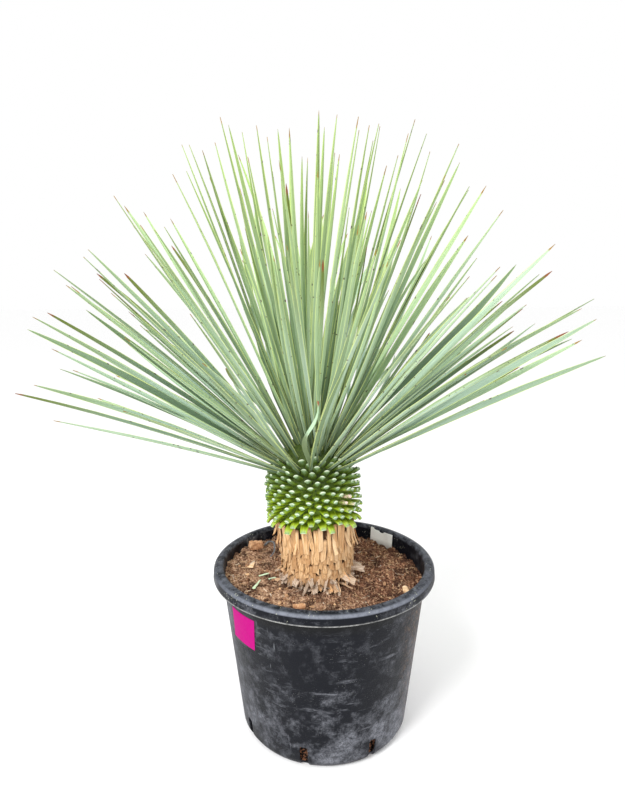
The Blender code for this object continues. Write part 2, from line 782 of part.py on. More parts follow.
def make_dead_root(soil, target):
    """Grey hooked root, a thin tapering tube, laid on the soil behind the trunk."""
    curve = bpy.data.curves.new("dead_root", "CURVE")
    curve.dimensions = "3D"
    curve.bevel_depth = DEAD_ROOT_RADIUS
    curve.bevel_resolution = 1
    curve.use_fill_caps = True
    spline = curve.splines.new("POLY")
    spline.points.add(DEAD_ROOT_POINTS - 1)
    for k, point in enumerate(spline.points):
        turn = DEAD_ROOT_FROM + DEAD_ROOT_TURN * k
        point.co = (DEAD_ROOT_BOW[0] * math.cos(turn), DEAD_ROOT_BOW[1] * math.sin(turn), 0, 1)
        point.radius = 1.3 - DEAD_ROOT_TAPER * k
    tube = bpy.data.objects.new("dead_root_curve", curve)
    target.objects.link(tube)
    graph = bpy.context.evaluated_depsgraph_get()
    mesh = bpy.data.meshes.new_from_object(tube.evaluated_get(graph))
    bpy.data.objects.remove(tube)
    bm = bmesh.new()
    bm.from_mesh(mesh)
    bmesh.ops.remove_doubles(bm, verts=bm.verts[:], dist=0.00001)
    root = link_mesh("dead_root", bm, target)
    root.location = (DEAD_ROOT_PLACE[0], DEAD_ROOT_PLACE[1], POT_HEIGHT)
    settle(root, soil)
    return root


def main():
    for old in list(bpy.data.objects):
        bpy.data.objects.remove(old)
    yucca = collection("beaked_yucca")
    plant_axis = bpy.data.objects.new("plant_axis", None)
    yucca.objects.link(plant_axis)
    plant_axis.location = (PLANT_X, 0, SOIL_LEVEL)
    plant_axis.rotation_euler.y = PLANT_LEAN
    bpy.context.view_layer.update()

    black = material("black_plastic", (0.030, 0.034, 0.042), 0.55)
    peat = material("peat", (0.110, 0.056, 0.034), 0.95)
    fibre = material("dead_leaf_base", (0.560, 0.330, 0.170), 0.85)
    green = material("cut_leaf_base", (0.280, 0.420, 0.040), 0.55)
    leaf = material("leaf", (0.300, 0.440, 0.300), 0.45)
    grey = material("grey_plastic", (0.450, 0.460, 0.440), 0.5)
    magenta = material("magenta_paper", (0.910, 0.020, 0.380), 0.5)
    bark = material("bark", (0.480, 0.260, 0.130), 0.9)
    root = material("grey_root", (0.220, 0.230, 0.240), 0.85)

    paint(make_pot(yucca), black)
    soil = make_soil(yucca, plant_axis)
    paint(soil, peat)
    paint(make_sticker(yucca), magenta)
    paint(make_label(yucca), grey)
    paint(make_old_trunk(yucca, plant_axis), fibre)
    paint(make_green_band(yucca, plant_axis), green)
    paint(make_leaf_head(yucca, plant_axis), leaf)
    paint(make_dead_root(soil, yucca), root)

    for name, size, place, turn, taper in CHIPS:
        paint(make_loose_piece(name, size, place, turn, taper, soil, yucca), bark)
    for name, size, place, turn, taper in CLIPPINGS:
        paint(make_loose_piece(name, size, place, turn, taper, soil, yucca), green)


main()
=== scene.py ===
"""Beaked yucca standing in a black nursery pot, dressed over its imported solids.

Metres, +Z up.  The origin is the centre of the pot's flat base, and the front of the pot faces -Y.
Angles run anticlockwise from +X, seen from above.
"""

import math
import random

import bpy
import numpy as np
from mathutils import Matrix, Vector, noise


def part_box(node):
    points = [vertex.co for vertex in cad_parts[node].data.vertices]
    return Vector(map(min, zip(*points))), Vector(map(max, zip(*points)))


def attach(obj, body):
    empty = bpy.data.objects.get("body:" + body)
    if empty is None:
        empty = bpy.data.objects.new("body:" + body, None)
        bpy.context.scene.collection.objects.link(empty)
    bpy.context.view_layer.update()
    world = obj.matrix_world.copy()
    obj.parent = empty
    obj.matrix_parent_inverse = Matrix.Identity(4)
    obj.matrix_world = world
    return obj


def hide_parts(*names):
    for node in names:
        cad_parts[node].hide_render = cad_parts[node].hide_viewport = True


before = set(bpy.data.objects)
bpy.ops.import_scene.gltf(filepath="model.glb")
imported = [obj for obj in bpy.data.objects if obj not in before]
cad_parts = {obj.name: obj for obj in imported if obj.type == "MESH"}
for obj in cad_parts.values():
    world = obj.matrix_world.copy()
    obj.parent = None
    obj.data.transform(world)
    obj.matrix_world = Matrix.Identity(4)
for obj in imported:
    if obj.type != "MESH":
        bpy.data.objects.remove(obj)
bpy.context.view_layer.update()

# Viewpoint, floor and light
# The camera stands where the photograph was taken from, at head height and looking a little down.
# A pale floor and a plain white surround give the soft, nearly shadowless light of a product photo.
LENS = 27.2
LONG_SIDE_SENSOR = 36
VIEWPOINT = Vector((0, -1.032, 0.785))
LOOK_DOWN = 9.89
LOOK_LEFT = 0.99
CAMERA_ROLL = 0.34
FLOOR_REACH = 30
KEY_LIGHT = ((-1.2, -1.9, 2.5), 1.0, 66)
FILL_LIGHT = ((0.7, -2.3, 1.2), 1.8, 12)

camera_data = bpy.data.cameras.new("photo_viewpoint")
camera_data.lens = LENS
camera_data.sensor_width = LONG_SIDE_SENSOR
camera = bpy.data.objects.new("photo_viewpoint", camera_data)
camera.location = VIEWPOINT
camera.rotation_euler = [math.radians(turn) for turn in (90 - LOOK_DOWN, CAMERA_ROLL, LOOK_LEFT)]
bpy.context.scene.collection.objects.link(camera)
bpy.context.scene.camera = camera

bpy.ops.object.select_all(action="DESELECT")
bpy.ops.mesh.primitive_plane_add(size=2 * FLOOR_REACH, location=(0, 0, 0))
floor = bpy.context.object
floor.name = "floor"
floor_paint = bpy.data.materials.new("pale_floor")
floor_paint.use_nodes = True
floor_paint.node_tree.nodes["Principled BSDF"].inputs["Base Color"].default_value = (0.99, 0.99, 0.99, 1)
floor_paint.node_tree.nodes["Principled BSDF"].inputs["Roughness"].default_value = 1
floor.data.materials.append(floor_paint)

surround = bpy.data.worlds.new("white_surround")
surround.use_nodes = True
surround.node_tree.nodes["Background"].inputs["Color"].default_value = (1, 1, 1, 1)
surround.node_tree.nodes["Background"].inputs["Strength"].default_value = 1.0
bpy.context.scene.world = surround
bpy.context.scene.view_settings.view_transform = "Standard"
for light_name, (light_place, light_size, light_power) in (("key", KEY_LIGHT), ("fill", FILL_LIGHT)):
    light_data = bpy.data.lights.new(light_name, "AREA")
    light_data.shape = "DISK"
    light_data.size = light_size
    light_data.energy = light_power
    light = bpy.data.objects.new(light_name, light_data)
    light.location = light_place
    light.rotation_euler = (Vector((0, 0, 0.5)) - light.location).to_track_quat("-Z", "Y").to_euler()
    bpy.context.scene.collection.objects.link(light)

# Nursery pot
# One injection-moulded shell of black plastic with a turned-over rim and drain slots through its
# foot.  Its wall is scuffed and dusty from the nursery, and the rim is worn pale along its edges.
# A painted highlight runs along the rim's front edge, and painted shade lies under the rim.
GAP = 0.0003
POT_SIDES = 144
POT_HEIGHT = 0.306
RIM_RADIUS = 0.200
RIM_DEPTH = 0.020
RIM_OVERHANG = 0.016
BASE_RADIUS = 0.151
WALL = 0.003
FLOOR = 0.004
SLOTS = 8
SLOT_WIDTH = 0.014
SLOT_HEIGHT = 0.041
SLOT_REACH = 0.010
SLOT_CORNER = 0.003
FIRST_SLOT = math.radians(-103)
WALL_FLARE = (RIM_RADIUS - RIM_OVERHANG - BASE_RADIUS) / (POT_HEIGHT - RIM_DEPTH)


def srgb(red, green, blue):
    """A colour given from 0 to 255, as the linear values that a shader takes."""
    return tuple(((c / 255 + 0.055) / 1.055) ** 2.4 for c in (red, green, blue)) + (1,)


class Finish:
    """A Principled material whose pattern is built up node by node."""

    def __init__(self, name, roughness, specular=0.5):
        self.material = bpy.data.materials.new(name)
        self.material.use_nodes = True
        self.tree = self.material.node_tree
        self.shader = self.tree.nodes["Principled BSDF"]
        self.shader.inputs["Roughness"].default_value = roughness
        self.shader.inputs["Specular IOR Level"].default_value = specular
        self.place = self.node("TexCoord").outputs["Object"]

    def feed(self, socket, value):
        if isinstance(value, bpy.types.NodeSocket):
            self.tree.links.new(value, socket)
        else:
            socket.default_value = value

    def node(self, kind, **inputs):
        """A new node with its inputs, each a value or another node's output."""
        made = self.tree.nodes.new("ShaderNode" + kind)
        for name, value in inputs.items():
            self.feed(made.inputs[name.replace("_", " ")], value)
        return made

    def stretched(self, scale, turn=(0, 0, 0)):
        """Object coordinates, scaled and turned by degrees."""
        turns = [math.radians(angle) for angle in turn]
        return self.node("Mapping", Vector=self.place, Scale=scale, Rotation=turns).outputs[0]

    def grain(self, scale, detail=3, roughness=0.5, place=None):
        """Noise from 0 to 1; scale is grains a metre where the place is in metres."""
        given = {"Scale": scale, "Detail": detail, "Roughness": roughness}
        return self.node("TexNoise", Vector=place or self.place, **given).outputs[0]

    def cells(self, scale):
        """Distance from the nearest of many scattered points; scale is points a metre."""
        return self.node("TexVoronoi", Vector=self.place, Scale=scale).outputs["Distance"]

    def fibres(self, across, along, shift, detail=3, roughness=0.5):
        """Lines on each copy: how many across and along it, and their shift from copy to copy."""
        run = self.along_and_across()
        x, y = self.both(run[0], across), self.both(run[1], along)
        lines = self.node("CombineXYZ", X=x, Y=y, Z=self.both(self.attribute("tone"), shift))
        return self.grain(1, detail, roughness, lines.outputs[0])

    def ramp(self, value, *stops):
        """Colours or grey values spread over a value's range."""
        made = self.tree.nodes.new("ShaderNodeValToRGB")
        self.feed(made.inputs[0], value)
        elements = made.color_ramp.elements
        while len(elements) < len(stops):
            elements.new(1)
        for element, (position, shade) in zip(elements, stops):
            element.position = position
            element.color = (shade, shade, shade, 1) if isinstance(shade, (int, float)) else shade
        return made.outputs[0]

    def rise(self, value, low, high):
        """0 at the low value and 1 at the high one, also across a fraction of a millimetre."""
        return self.node("MapRange", Value=value, From_Min=low, From_Max=high).outputs[0]

    def reckon(self, operation, *values):
        """A step of arithmetic, taken again with each further value."""
        made = values[0]
        for value in values[1:] or (0.0,):
            step = self.tree.nodes.new("ShaderNodeMath")
            step.operation = operation
            self.feed(step.inputs[0], made)
            self.feed(step.inputs[1], value)
            made = step.outputs[0]
        return made

    def both(self, *shares):
        """The product of several shares."""
        return self.reckon("MULTIPLY", *shares)

    def either(self, *shares):
        """The greatest of several shares."""
        return self.reckon("MAXIMUM", *shares)

    def added(self, *values):
        return self.reckon("ADD", *values)

    def off_middle(self, across):
        """How far a place is from a copy's middle line: 0.5 at its edges."""
        return self.reckon("ABSOLUTE", self.added(across, -0.5))

    def attribute(self, name):
        made = self.tree.nodes.new("ShaderNodeAttribute")
        made.attribute_name = name
        return made.outputs["Fac"]

    def split(self, vector):
        return self.node("SeparateXYZ", Vector=vector).outputs

    def along_and_across(self):
        """The piece's own map: across from 0 to 1, and along from root to tip."""
        made = self.tree.nodes.new("ShaderNodeUVMap")
        made.uv_map = "run"
        return self.split(made.outputs[0])

    def bump(self, height, depth):
        made = self.node("Bump", Strength=1, Distance=depth, Height=height)
        self.feed(self.shader.inputs["Normal"], made.outputs[0])

    def colour(self, shade):
        """Give the whole surface a colour."""
        self.skin = shade
        self.feed(self.shader.inputs["Base Color"], shade)

    def coat(self, share, shade):
        """Lay a colour over the surface, fully where the share is 1."""
        made = self.tree.nodes.new("ShaderNodeMix")
        made.data_type = "RGBA"
        for number, value in ((0, share), (6, self.skin), (7, shade)):
            self.feed(made.inputs[number], value)
        self.colour(made.outputs[2])


def finish_piece(piece, finish, node, smooth=35):
    """Paint a piece, smooth its round faces and put it on the body in the place of its node."""
    piece.data.materials.clear()
    piece.data.materials.append(finish.material)
    bpy.ops.object.select_all(action="DESELECT")
    piece.select_set(True)
    bpy.context.view_layer.objects.active = piece
    bpy.ops.object.transform_apply(location=True, rotation=True, scale=True)
    bpy.ops.object.mode_set(mode="EDIT")
    bpy.ops.mesh.select_all(action="SELECT")
    bpy.ops.mesh.normals_make_consistent(inside=False)
    bpy.ops.object.mode_set(mode="OBJECT")
    bpy.ops.object.shade_smooth_by_angle(angle=math.radians(smooth))
    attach(piece, "root")
    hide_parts(node)


def wall_radius(height):
    """Outer radius of the pot's tapered wall at a height, upright behind the rim."""
    top = RIM_RADIUS - RIM_OVERHANG
    return BASE_RADIUS + (top - BASE_RADIUS) * min(1, height / (POT_HEIGHT - RIM_DEPTH))


def turned_body(name, rings, sides):
    """A disc drawn up ring by ring through radius and height pairs, closed by its last ring."""
    radius, height = rings[0]
    bpy.ops.object.select_all(action="DESELECT")
    bpy.ops.mesh.primitive_circle_add(
        vertices=sides, radius=radius, fill_type="NGON", location=(0, 0, height)
    )
    made = bpy.context.object
    made.name = name
    bpy.ops.object.transform_apply(location=True)
    bpy.ops.object.mode_set(mode="EDIT")
    bpy.ops.mesh.select_all(action="SELECT")
    for next_radius, next_height in rings[1:]:
        bpy.ops.mesh.extrude_region_move(
            TRANSFORM_OT_translate={"value": (0, 0, next_height - height)}
        )
        growth = next_radius / radius
        bpy.ops.transform.resize(value=(growth, growth, 1), center_override=(0, 0, next_height))
        radius, height = next_radius, next_height
    bpy.ops.object.mode_set(mode="OBJECT")
    return made


rim_low = POT_HEIGHT - RIM_DEPTH
rim_inside = wall_radius(rim_low) - WALL
pot_rings = [(0.1375, 0), (0.1420, 0.0006), (0.1465, 0.0030), (0.1495, 0.0072)]
pot_rings += [(wall_radius(height), height) for height in np.linspace(0.013, rim_low - 0.004, 12)]
pot_rings += [
    (wall_radius(rim_low) + 0.0010, rim_low - 0.0005),
    (RIM_RADIUS - 0.0030, rim_low - 0.0002),
    (RIM_RADIUS - 0.0004, rim_low),
    (RIM_RADIUS, rim_low + 0.0012),
    (RIM_RADIUS - 0.0006, rim_low + 0.0045),
    (RIM_RADIUS - 0.0008, POT_HEIGHT - 0.0085),
    (RIM_RADIUS - 0.0012, POT_HEIGHT - 0.0062),
    (RIM_RADIUS - 0.0030, POT_HEIGHT - 0.0035),
    (RIM_RADIUS - 0.0060, POT_HEIGHT - 0.0016),
    (RIM_RADIUS - 0.0105, POT_HEIGHT - 0.0004),
    (rim_inside + 0.0050, POT_HEIGHT),
    (rim_inside + 0.0026, POT_HEIGHT - 0.0006),
    (rim_inside + 0.0010, POT_HEIGHT - 0.0024),
    (rim_inside + 0.0002, POT_HEIGHT - 0.0060),
]
pot_rings += [
    (wall_radius(height) - WALL, height) for height in np.linspace(rim_low, FLOOR + 0.014, 8)
]
pot_rings.append((BASE_RADIUS - WALL - 0.006, FLOOR))
pot = turned_body("nursery_pot", pot_rings, POT_SIDES)
for k in range(SLOTS):
    slot_angle = FIRST_SLOT + 2 * math.pi * k / SLOTS
    bpy.ops.object.select_all(action="DESELECT")
    bpy.ops.mesh.primitive_cube_add(size=1)
    slot_cutter = bpy.context.object
    slot_cutter.dimensions = (4 * SLOT_REACH, SLOT_WIDTH, 2 * SLOT_HEIGHT)
    slot_cutter.location = (
        (BASE_RADIUS + SLOT_REACH) * math.cos(slot_angle),
        (BASE_RADIUS + SLOT_REACH) * math.sin(slot_angle),
        0,
    )
    slot_cutter.rotation_euler.z = slot_angle
    bpy.ops.object.transform_apply(location=True, rotation=True, scale=True)
    bpy.ops.object.mode_set(mode="EDIT")
    bpy.ops.mesh.select_all(action="SELECT")
    bpy.ops.mesh.bevel(offset=SLOT_CORNER, segments=2)
    bpy.ops.object.mode_set(mode="OBJECT")
    slot_cut = pot.modifiers.new("drain_slot", "BOOLEAN")
    slot_cut.object = slot_cutter
    slot_cut.solver = "EXACT"
    bpy.context.view_layer.objects.active = pot
    bpy.ops.object.modifier_apply(modifier="drain_slot")
    bpy.data.objects.remove(slot_cutter)

plastic = Finish("scuffed_black_plastic", 0.55, specular=0.16)
pot_x, pot_y, pot_z = plastic.split(plastic.place)
clouds = plastic.grain(11, detail=4, roughness=0.6)
patches = plastic.grain(34, detail=8, roughness=0.72)
specks = plastic.grain(620, roughness=0.7)

# Grey dust lies in clouds, thickest low on the wall and at its sides, and some of it is smeared.
dust_grain = plastic.grain(150, detail=10, roughness=0.8)
off_centre = plastic.reckon("ABSOLUTE", pot_x)
low_down = plastic.both(plastic.rise(pot_z, 0.170, 0.030), 0.15)
at_the_sides = plastic.both(plastic.rise(off_centre, 0.070, 0.150), 0.15)
low_in_front = plastic.both(plastic.rise(off_centre, 0.110, 0.040), plastic.rise(pot_z, 0.150, 0.060), 0.12)
dust_amount = plastic.added(clouds, low_down, low_in_front, at_the_sides, patches, -0.5)
dusty = plastic.both(plastic.rise(dust_amount, 0.60, 0.92), plastic.ramp(dust_grain, (0.38, 0.15), (0.56, 1)))
veil = plastic.both(
    plastic.ramp(patches, (0.49, 0), (0.60, 0.24)), plastic.ramp(dust_grain, (0.40, 0.2), (0.62, 1))
)
level_smears = plastic.grain(95, detail=6, roughness=0.7, place=plastic.stretched((0.16, 0.16, 1), (0, 8, 0)))
level_smears = plastic.both(
    plastic.ramp(level_smears, (0.56, 0), (0.68, 0.6)), plastic.rise(clouds, 0.40, 0.54)
)
upright_smears = plastic.grain(120, detail=6, roughness=0.7, place=plastic.stretched((1, 1, 0.12), (4, 6, 0)))
upright_smears = plastic.both(
    plastic.ramp(upright_smears, (0.58, 0), (0.66, 0.6)),
    plastic.rise(pot_z, 0.120, 0.050),
    plastic.rise(patches, 0.46, 0.56),
)
dusty = plastic.either(dusty, veil, level_smears, upright_smears)
dusty = plastic.both(dusty, plastic.ramp(specks, (0.30, 0.35), (0.60, 1)))
plastic.colour(srgb(3, 7, 17))
plastic.coat(dusty, srgb(136, 138, 146))

# Pale spots, fine upright scratches and splashes of brown soil
spots = plastic.both(
    plastic.ramp(plastic.cells(330), (0.10, 0.8), (0.17, 0)),
    plastic.ramp(plastic.grain(26, detail=4, roughness=0.7), (0.50, 0), (0.60, 1)),
)
plastic.coat(spots, srgb(128, 128, 128))
scratches = plastic.grain(230, detail=1, place=plastic.stretched((1, 1, 0.04), (3, 5, 0)))
scratched = plastic.both(plastic.ramp(scratches, (0.735, 0), (0.755, 0.6)), plastic.rise(clouds, 0.50, 0.58))
plastic.coat(scratched, srgb(140, 144, 150))
brown_dust = plastic.ramp(plastic.grain(150, detail=8, roughness=0.8), (0.50, 0), (0.60, 0.6))
brown_splash = plastic.ramp(plastic.grain(40, detail=8, roughness=0.85), (0.69, 0), (0.74, 0.6))
brown_share = plastic.either(plastic.both(brown_dust, plastic.rise(pot_x, 0.125, 0.160)), brown_splash)
brown_share = plastic.both(brown_share, plastic.rise(pot_z, rim_low - 0.010, rim_low - 0.040))
plastic.coat(brown_share, srgb(136, 104, 80))

# Painted shade under the rim, the rim's worn top and lower edge, and a painted highlight along its front edge
pot_reach = plastic.reckon("SQRT", plastic.added(plastic.both(pot_x, pot_x), plastic.both(pot_y, pot_y)))
wall_line = plastic.added(plastic.both(pot_z, WALL_FLARE), BASE_RADIUS)
outside = plastic.rise(plastic.reckon("SUBTRACT", pot_reach, wall_line), -0.0018, -0.0012)
lip_shade = plastic.both(
    outside,
    plastic.rise(pot_z, rim_low - 0.0002, rim_low - 0.0004),
    plastic.rise(pot_z, rim_low - 0.030, rim_low - 0.010),
)
plastic.coat(lip_shade, srgb(5, 6, 8))
rim_grain = plastic.grain(90, detail=10, roughness=0.75)
rim_top = plastic.rise(pot_z, POT_HEIGHT - 0.0075, POT_HEIGHT - 0.0055)
# A painted highlight along the rim's outer top edge, on the front only
rim_front_highlight = plastic.both(
    rim_top,
    plastic.rise(pot_z, POT_HEIGHT - 0.0010, POT_HEIGHT - 0.0030),
    plastic.rise(pot_y, -0.02, -0.17),
    plastic.ramp(rim_grain, (0.30, 0.45), (0.56, 1)),
)
rim_wear = plastic.both(rim_top, plastic.ramp(rim_grain, (0.42, 0), (0.62, 0.55)))
plastic.coat(rim_top, srgb(18, 21, 28))
# Wear over the rim's top, and the painted highlight along its front edge, in one pale grey
plastic.coat(plastic.either(rim_wear, rim_front_highlight), srgb(118, 122, 133))
lower_edge = plastic.both(
    outside,
    plastic.rise(pot_z, rim_low - 0.0002, rim_low + 0.0002),
    plastic.rise(pot_z, rim_low + 0.0026, rim_low + 0.0012),
    plastic.ramp(plastic.grain(75, detail=6, roughness=0.75), (0.36, 0.2), (0.56, 0.9)),
)
plastic.coat(lower_edge, srgb(158, 158, 156))
flecks = plastic.both(
    plastic.ramp(plastic.cells(230), (0.12, 1), (0.20, 0)),
    plastic.ramp(plastic.grain(30), (0.56, 0), (0.60, 0.9)),
    plastic.rise(pot_z, POT_HEIGHT - 0.030, POT_HEIGHT - 0.010),
)
plastic.coat(flecks, srgb(206, 208, 186))
plastic.feed(plastic.shader.inputs["Roughness"], plastic.ramp(dusty, (0, 0.46), (1, 0.8)))
plastic.bump(plastic.added(plastic.both(specks, 0.25), patches), 0.0012)
finish_piece(pot, plastic, "pot")

# Price sticker
# A square of coated magenta paper stuck on the wall under the rim, left bare.  It follows the
# round wall and its lower corners have begun to lift.
STICKER_FROM = math.radians(-149.5)
STICKER_TO = math.radians(-129.5)
STICKER_LOW = 0.205
STICKER_HIGH = 0.263
STICKER_TURN = math.radians(1.1)
STICKER_THICK = 0.0003
CORNER_LIFT = 0.0006

bpy.ops.object.select_all(action="DESELECT")
bpy.ops.mesh.primitive_grid_add(x_subdivisions=18, y_subdivisions=18, size=2)
sticker = bpy.context.object
sticker.name = "price_sticker"
for corner in sticker.data.vertices:
    across, up = corner.co.x, corner.co.y
    height = (STICKER_LOW + STICKER_HIGH) / 2 + up * (STICKER_HIGH - STICKER_LOW) / 2
    angle = (STICKER_FROM + STICKER_TO) / 2 + across * (STICKER_TO - STICKER_FROM) / 2
    angle += up * STICKER_TURN
    lift = GAP / 2 + CORNER_LIFT * (abs(across) * max(0, -up)) ** 6
    corner.co = Vector((math.cos(angle), math.sin(angle), 0)) * (wall_radius(height) + lift)
    corner.co.z = height
sticker_wall = sticker.modifiers.new("paper", "SOLIDIFY")
sticker_wall.thickness = STICKER_THICK
sticker_wall.offset = 1
bpy.ops.object.modifier_apply(modifier="paper")
paper = Finish("magenta_paper", 0.6, specular=0.06)
creases = paper.grain(60, detail=5, roughness=0.6)
paper.colour((0.445, 0.001, 0.182, 1))
paper.coat(paper.ramp(creases, (0.35, 0), (0.75, 0.55)), (0.380, 0.001, 0.156, 1))
paper.bump(paper.added(creases, paper.both(paper.grain(900), 0.1)), 0.0006)
finish_piece(sticker, paper, "sticker")

# Growing soil
# Fibrous brown peat pressed into the pot to 2 to 4 cm under the rim, with a hole that the trunk
# stands in.  The surface is crumbly, and crumbs and straw lie loose on it.
SOIL_LEVEL = 0.270
SOIL_RISE = 0.008
SOIL_HIGH_SIDE = math.radians(150)
SOIL_LUMPS = 0.0045
LUMPS_A_METRE = 40
LEVEL_REACH = 0.085
LEVEL_BLEND = 0.030

# Each clod's place from the pot's axis, its reach and its height
CLODS = (
    (0.122, 0.022, 0.024, 0.008),
    (0.060, 0.130, 0.022, 0.006),
    (-0.060, -0.118, 0.020, 0.005),
    (-0.150, -0.030, 0.022, 0.005),
)
PLANT_X = -0.0125
STEM_RADIUS = 0.058
BURIED = 0.060
SOIL_CELLS = 250
CRUMBLE = 0.0064
CRUMBS = 1100
CRUMB_SEED = 21
SMALLEST_CRUMB = 0.0009
CRUMB_GROWTH = 0.0030
STRAWS = 950
STRAW_STEPS = 5
SHORTEST_STRAW = 0.004
STRAW_GROWTH = 0.018
STRAW_THICKS = (0.0004, 0.0010)
LOOSE_NODES = (
    "dead_root", "bark_block", "bark_chip_left", "bark_chip_right", "bark_chip_front",
    "leaf_clipping_1", "leaf_clipping_2", "leaf_clipping_3",
)
CALM_REACH = 0.012
CALM_SHARE = 0.30
PRESSED_DOWN = 0.0008
loose_boxes = [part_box(node) for node in LOOSE_NODES]


def soil_height(x, y):
    """Height of the packed soil's surface: level at the trunk and higher along the wall."""
    distance = math.hypot(x, y)
    away = min(1, max(0, (math.hypot(x - PLANT_X, y) - LEVEL_REACH) / LEVEL_BLEND))
    rise = SOIL_RISE * (1 + math.cos(math.atan2(y, x) - SOIL_HIGH_SIDE))
    height = SOIL_LEVEL + away * rise * (distance / wall_radius(SOIL_LEVEL)) ** 3
    height += away * SOIL_LUMPS * noise.noise(Vector((x, y, 0)) * LUMPS_A_METRE)
    for clod_x, clod_y, reach, clod_height in CLODS:
        near = max(0, 1 - math.hypot(x - clod_x, y - clod_y) / reach)
        height += away * clod_height * near
    return height


def from_loose_bits(x, y):
    """How far a place on the soil is from the nearest chip, clipping or root that lies there."""
    return min(
        math.hypot(max(low[0] - x, 0, x - high[0]), max(low[1] - y, 0, y - high[1]))
        for low, high in loose_boxes
    )


def crumbled_height(x, y):
    """The same surface with rounded crumbs 15 mm to 2 mm wide, flatter under a loose bit."""
    place = Vector((x, y, 0.37))
    crumbs = noise.noise(place * 75) + 0.62 * abs(noise.noise(place * 150))
    crumbs += 0.45 * noise.noise(place * 330)
    open_share = min(1, from_loose_bits(x, y) / CALM_REACH)
    height = CRUMBLE * (CALM_SHARE + (1 - CALM_SHARE) * open_share) * (crumbs - 0.15)
    return soil_height(x, y) + height - PRESSED_DOWN * (1 - open_share)


soil_reach = wall_radius(SOIL_LEVEL) + 0.002
bpy.ops.object.select_all(action="DESELECT")
bpy.ops.mesh.primitive_grid_add(
    x_subdivisions=SOIL_CELLS,
    y_subdivisions=SOIL_CELLS,
    size=2 * soil_reach,
    location=(0, 0, SOIL_LEVEL),
)
soil = bpy.context.object
soil.name = "peat_soil"
bpy.ops.object.transform_apply(location=True)
cell = 2 * soil_reach / SOIL_CELLS
bpy.ops.object.mode_set(mode="EDIT")
bpy.ops.mesh.select_all(action="DESELECT")
bpy.ops.object.mode_set(mode="OBJECT")
for corner in soil.data.vertices:
    reach = math.hypot(corner.co.x, corner.co.y)
    stem = math.hypot(corner.co.x - PLANT_X, corner.co.y)
    wall_here = wall_radius(soil_height(corner.co.x, corner.co.y)) - WALL - GAP
    corner.select = reach > wall_here + 0.7 * cell or stem < STEM_RADIUS - 0.7 * cell
    if reach > wall_here:
        corner.co.x *= wall_here / reach
        corner.co.y *= wall_here / reach
    if stem < STEM_RADIUS:
        wider = (STEM_RADIUS + GAP) / max(stem, cell)
        corner.co.x = PLANT_X + (corner.co.x - PLANT_X) * wider
        corner.co.y *= wider
bpy.ops.object.mode_set(mode="EDIT")
bpy.ops.mesh.delete(type="VERT")
for reach_low, reach_high, foot, foot_scale in (
    (0, 0.1, SOIL_LEVEL - BURIED, 1),
    (0.1, 1, FLOOR + GAP, (BASE_RADIUS - WALL - 0.007) / (wall_radius(SOIL_LEVEL) - WALL)),
):
    bpy.ops.object.mode_set(mode="OBJECT")
    edge_uses = np.zeros(len(soil.data.edges), int)
    loop_edges = np.zeros(len(soil.data.loops), int)
    soil.data.loops.foreach_get("edge_index", loop_edges)
    np.add.at(edge_uses, loop_edges, 1)
    for edge in soil.data.edges:
        first = soil.data.vertices[edge.vertices[0]].co
        edge.select = edge_uses[edge.index] == 1 and reach_low < math.hypot(first.x, first.y) < reach_high
    bpy.ops.object.mode_set(mode="EDIT")
    bpy.ops.mesh.select_mode(type="EDGE")
    bpy.ops.mesh.extrude_edges_move()
    bpy.ops.transform.resize(value=(foot_scale, foot_scale, 0), center_override=(0, 0, foot))
    bpy.ops.mesh.edge_face_add()
bpy.ops.mesh.select_mode(type="VERT")
bpy.ops.object.mode_set(mode="OBJECT")
for corner in soil.data.vertices:
    if corner.co.z > SOIL_LEVEL - GAP:
        corner.co.z = crumbled_height(corner.co.x, corner.co.y)

peat = Finish("fibrous_peat", 0.95, specular=0.15)
peat_x, peat_y, peat_z = peat.split(peat.place)
clumps = peat.grain(34, detail=5, roughness=0.62)
crumb_grain = peat.grain(300, detail=5, roughness=0.7)
threads = peat.grain(300, place=peat.stretched((1, 0.14, 1), (0, 0, 38)))
cross_threads = peat.grain(300, place=peat.stretched((0.14, 1, 1), (0, 0, 12)))
damp_peat = peat.ramp(
    crumb_grain,
    (0.34, srgb(34, 20, 16)), (0.45, srgb(96, 63, 48)),
    (0.56, srgb(154, 109, 84)), (0.66, srgb(224, 180, 144)),
)
dried_and_lit_peat = peat.ramp(
    crumb_grain,
    (0.32, srgb(62, 41, 32)), (0.43, srgb(144, 107, 84)),
    (0.55, srgb(206, 167, 136)), (0.66, srgb(252, 228, 200)),
)
# The peat is drier and paler towards the left front; part of that paleness is painted light from the left,
# and the darker right is partly painted shade
towards_left = peat.rise(peat.added(peat_x, peat.both(peat_y, 0.7)), 0.040, -0.100)
peat.colour(damp_peat)
peat.coat(peat.both(towards_left, peat.ramp(clumps, (0.38, 0.4), (0.56, 1))), dried_and_lit_peat)
peat.coat(peat.ramp(clumps, (0.40, 0.75), (0.54, 0)), srgb(50, 31, 26))
peat.coat(peat.ramp(peat.either(threads, cross_threads), (0.61, 0), (0.70, 0.8)), srgb(218, 182, 146))
slot_soil = peat.ramp(peat.grain(230), (0.48, srgb(12, 10, 10)), (0.60, srgb(130, 88, 64)))
peat.coat(peat.rise(peat_z, 0.060, 0.050), slot_soil)
peat.bump(peat.added(crumb_grain, peat.both(threads, 0.5)), 0.0030)
finish_piece(soil, peat, "soil", smooth=60)


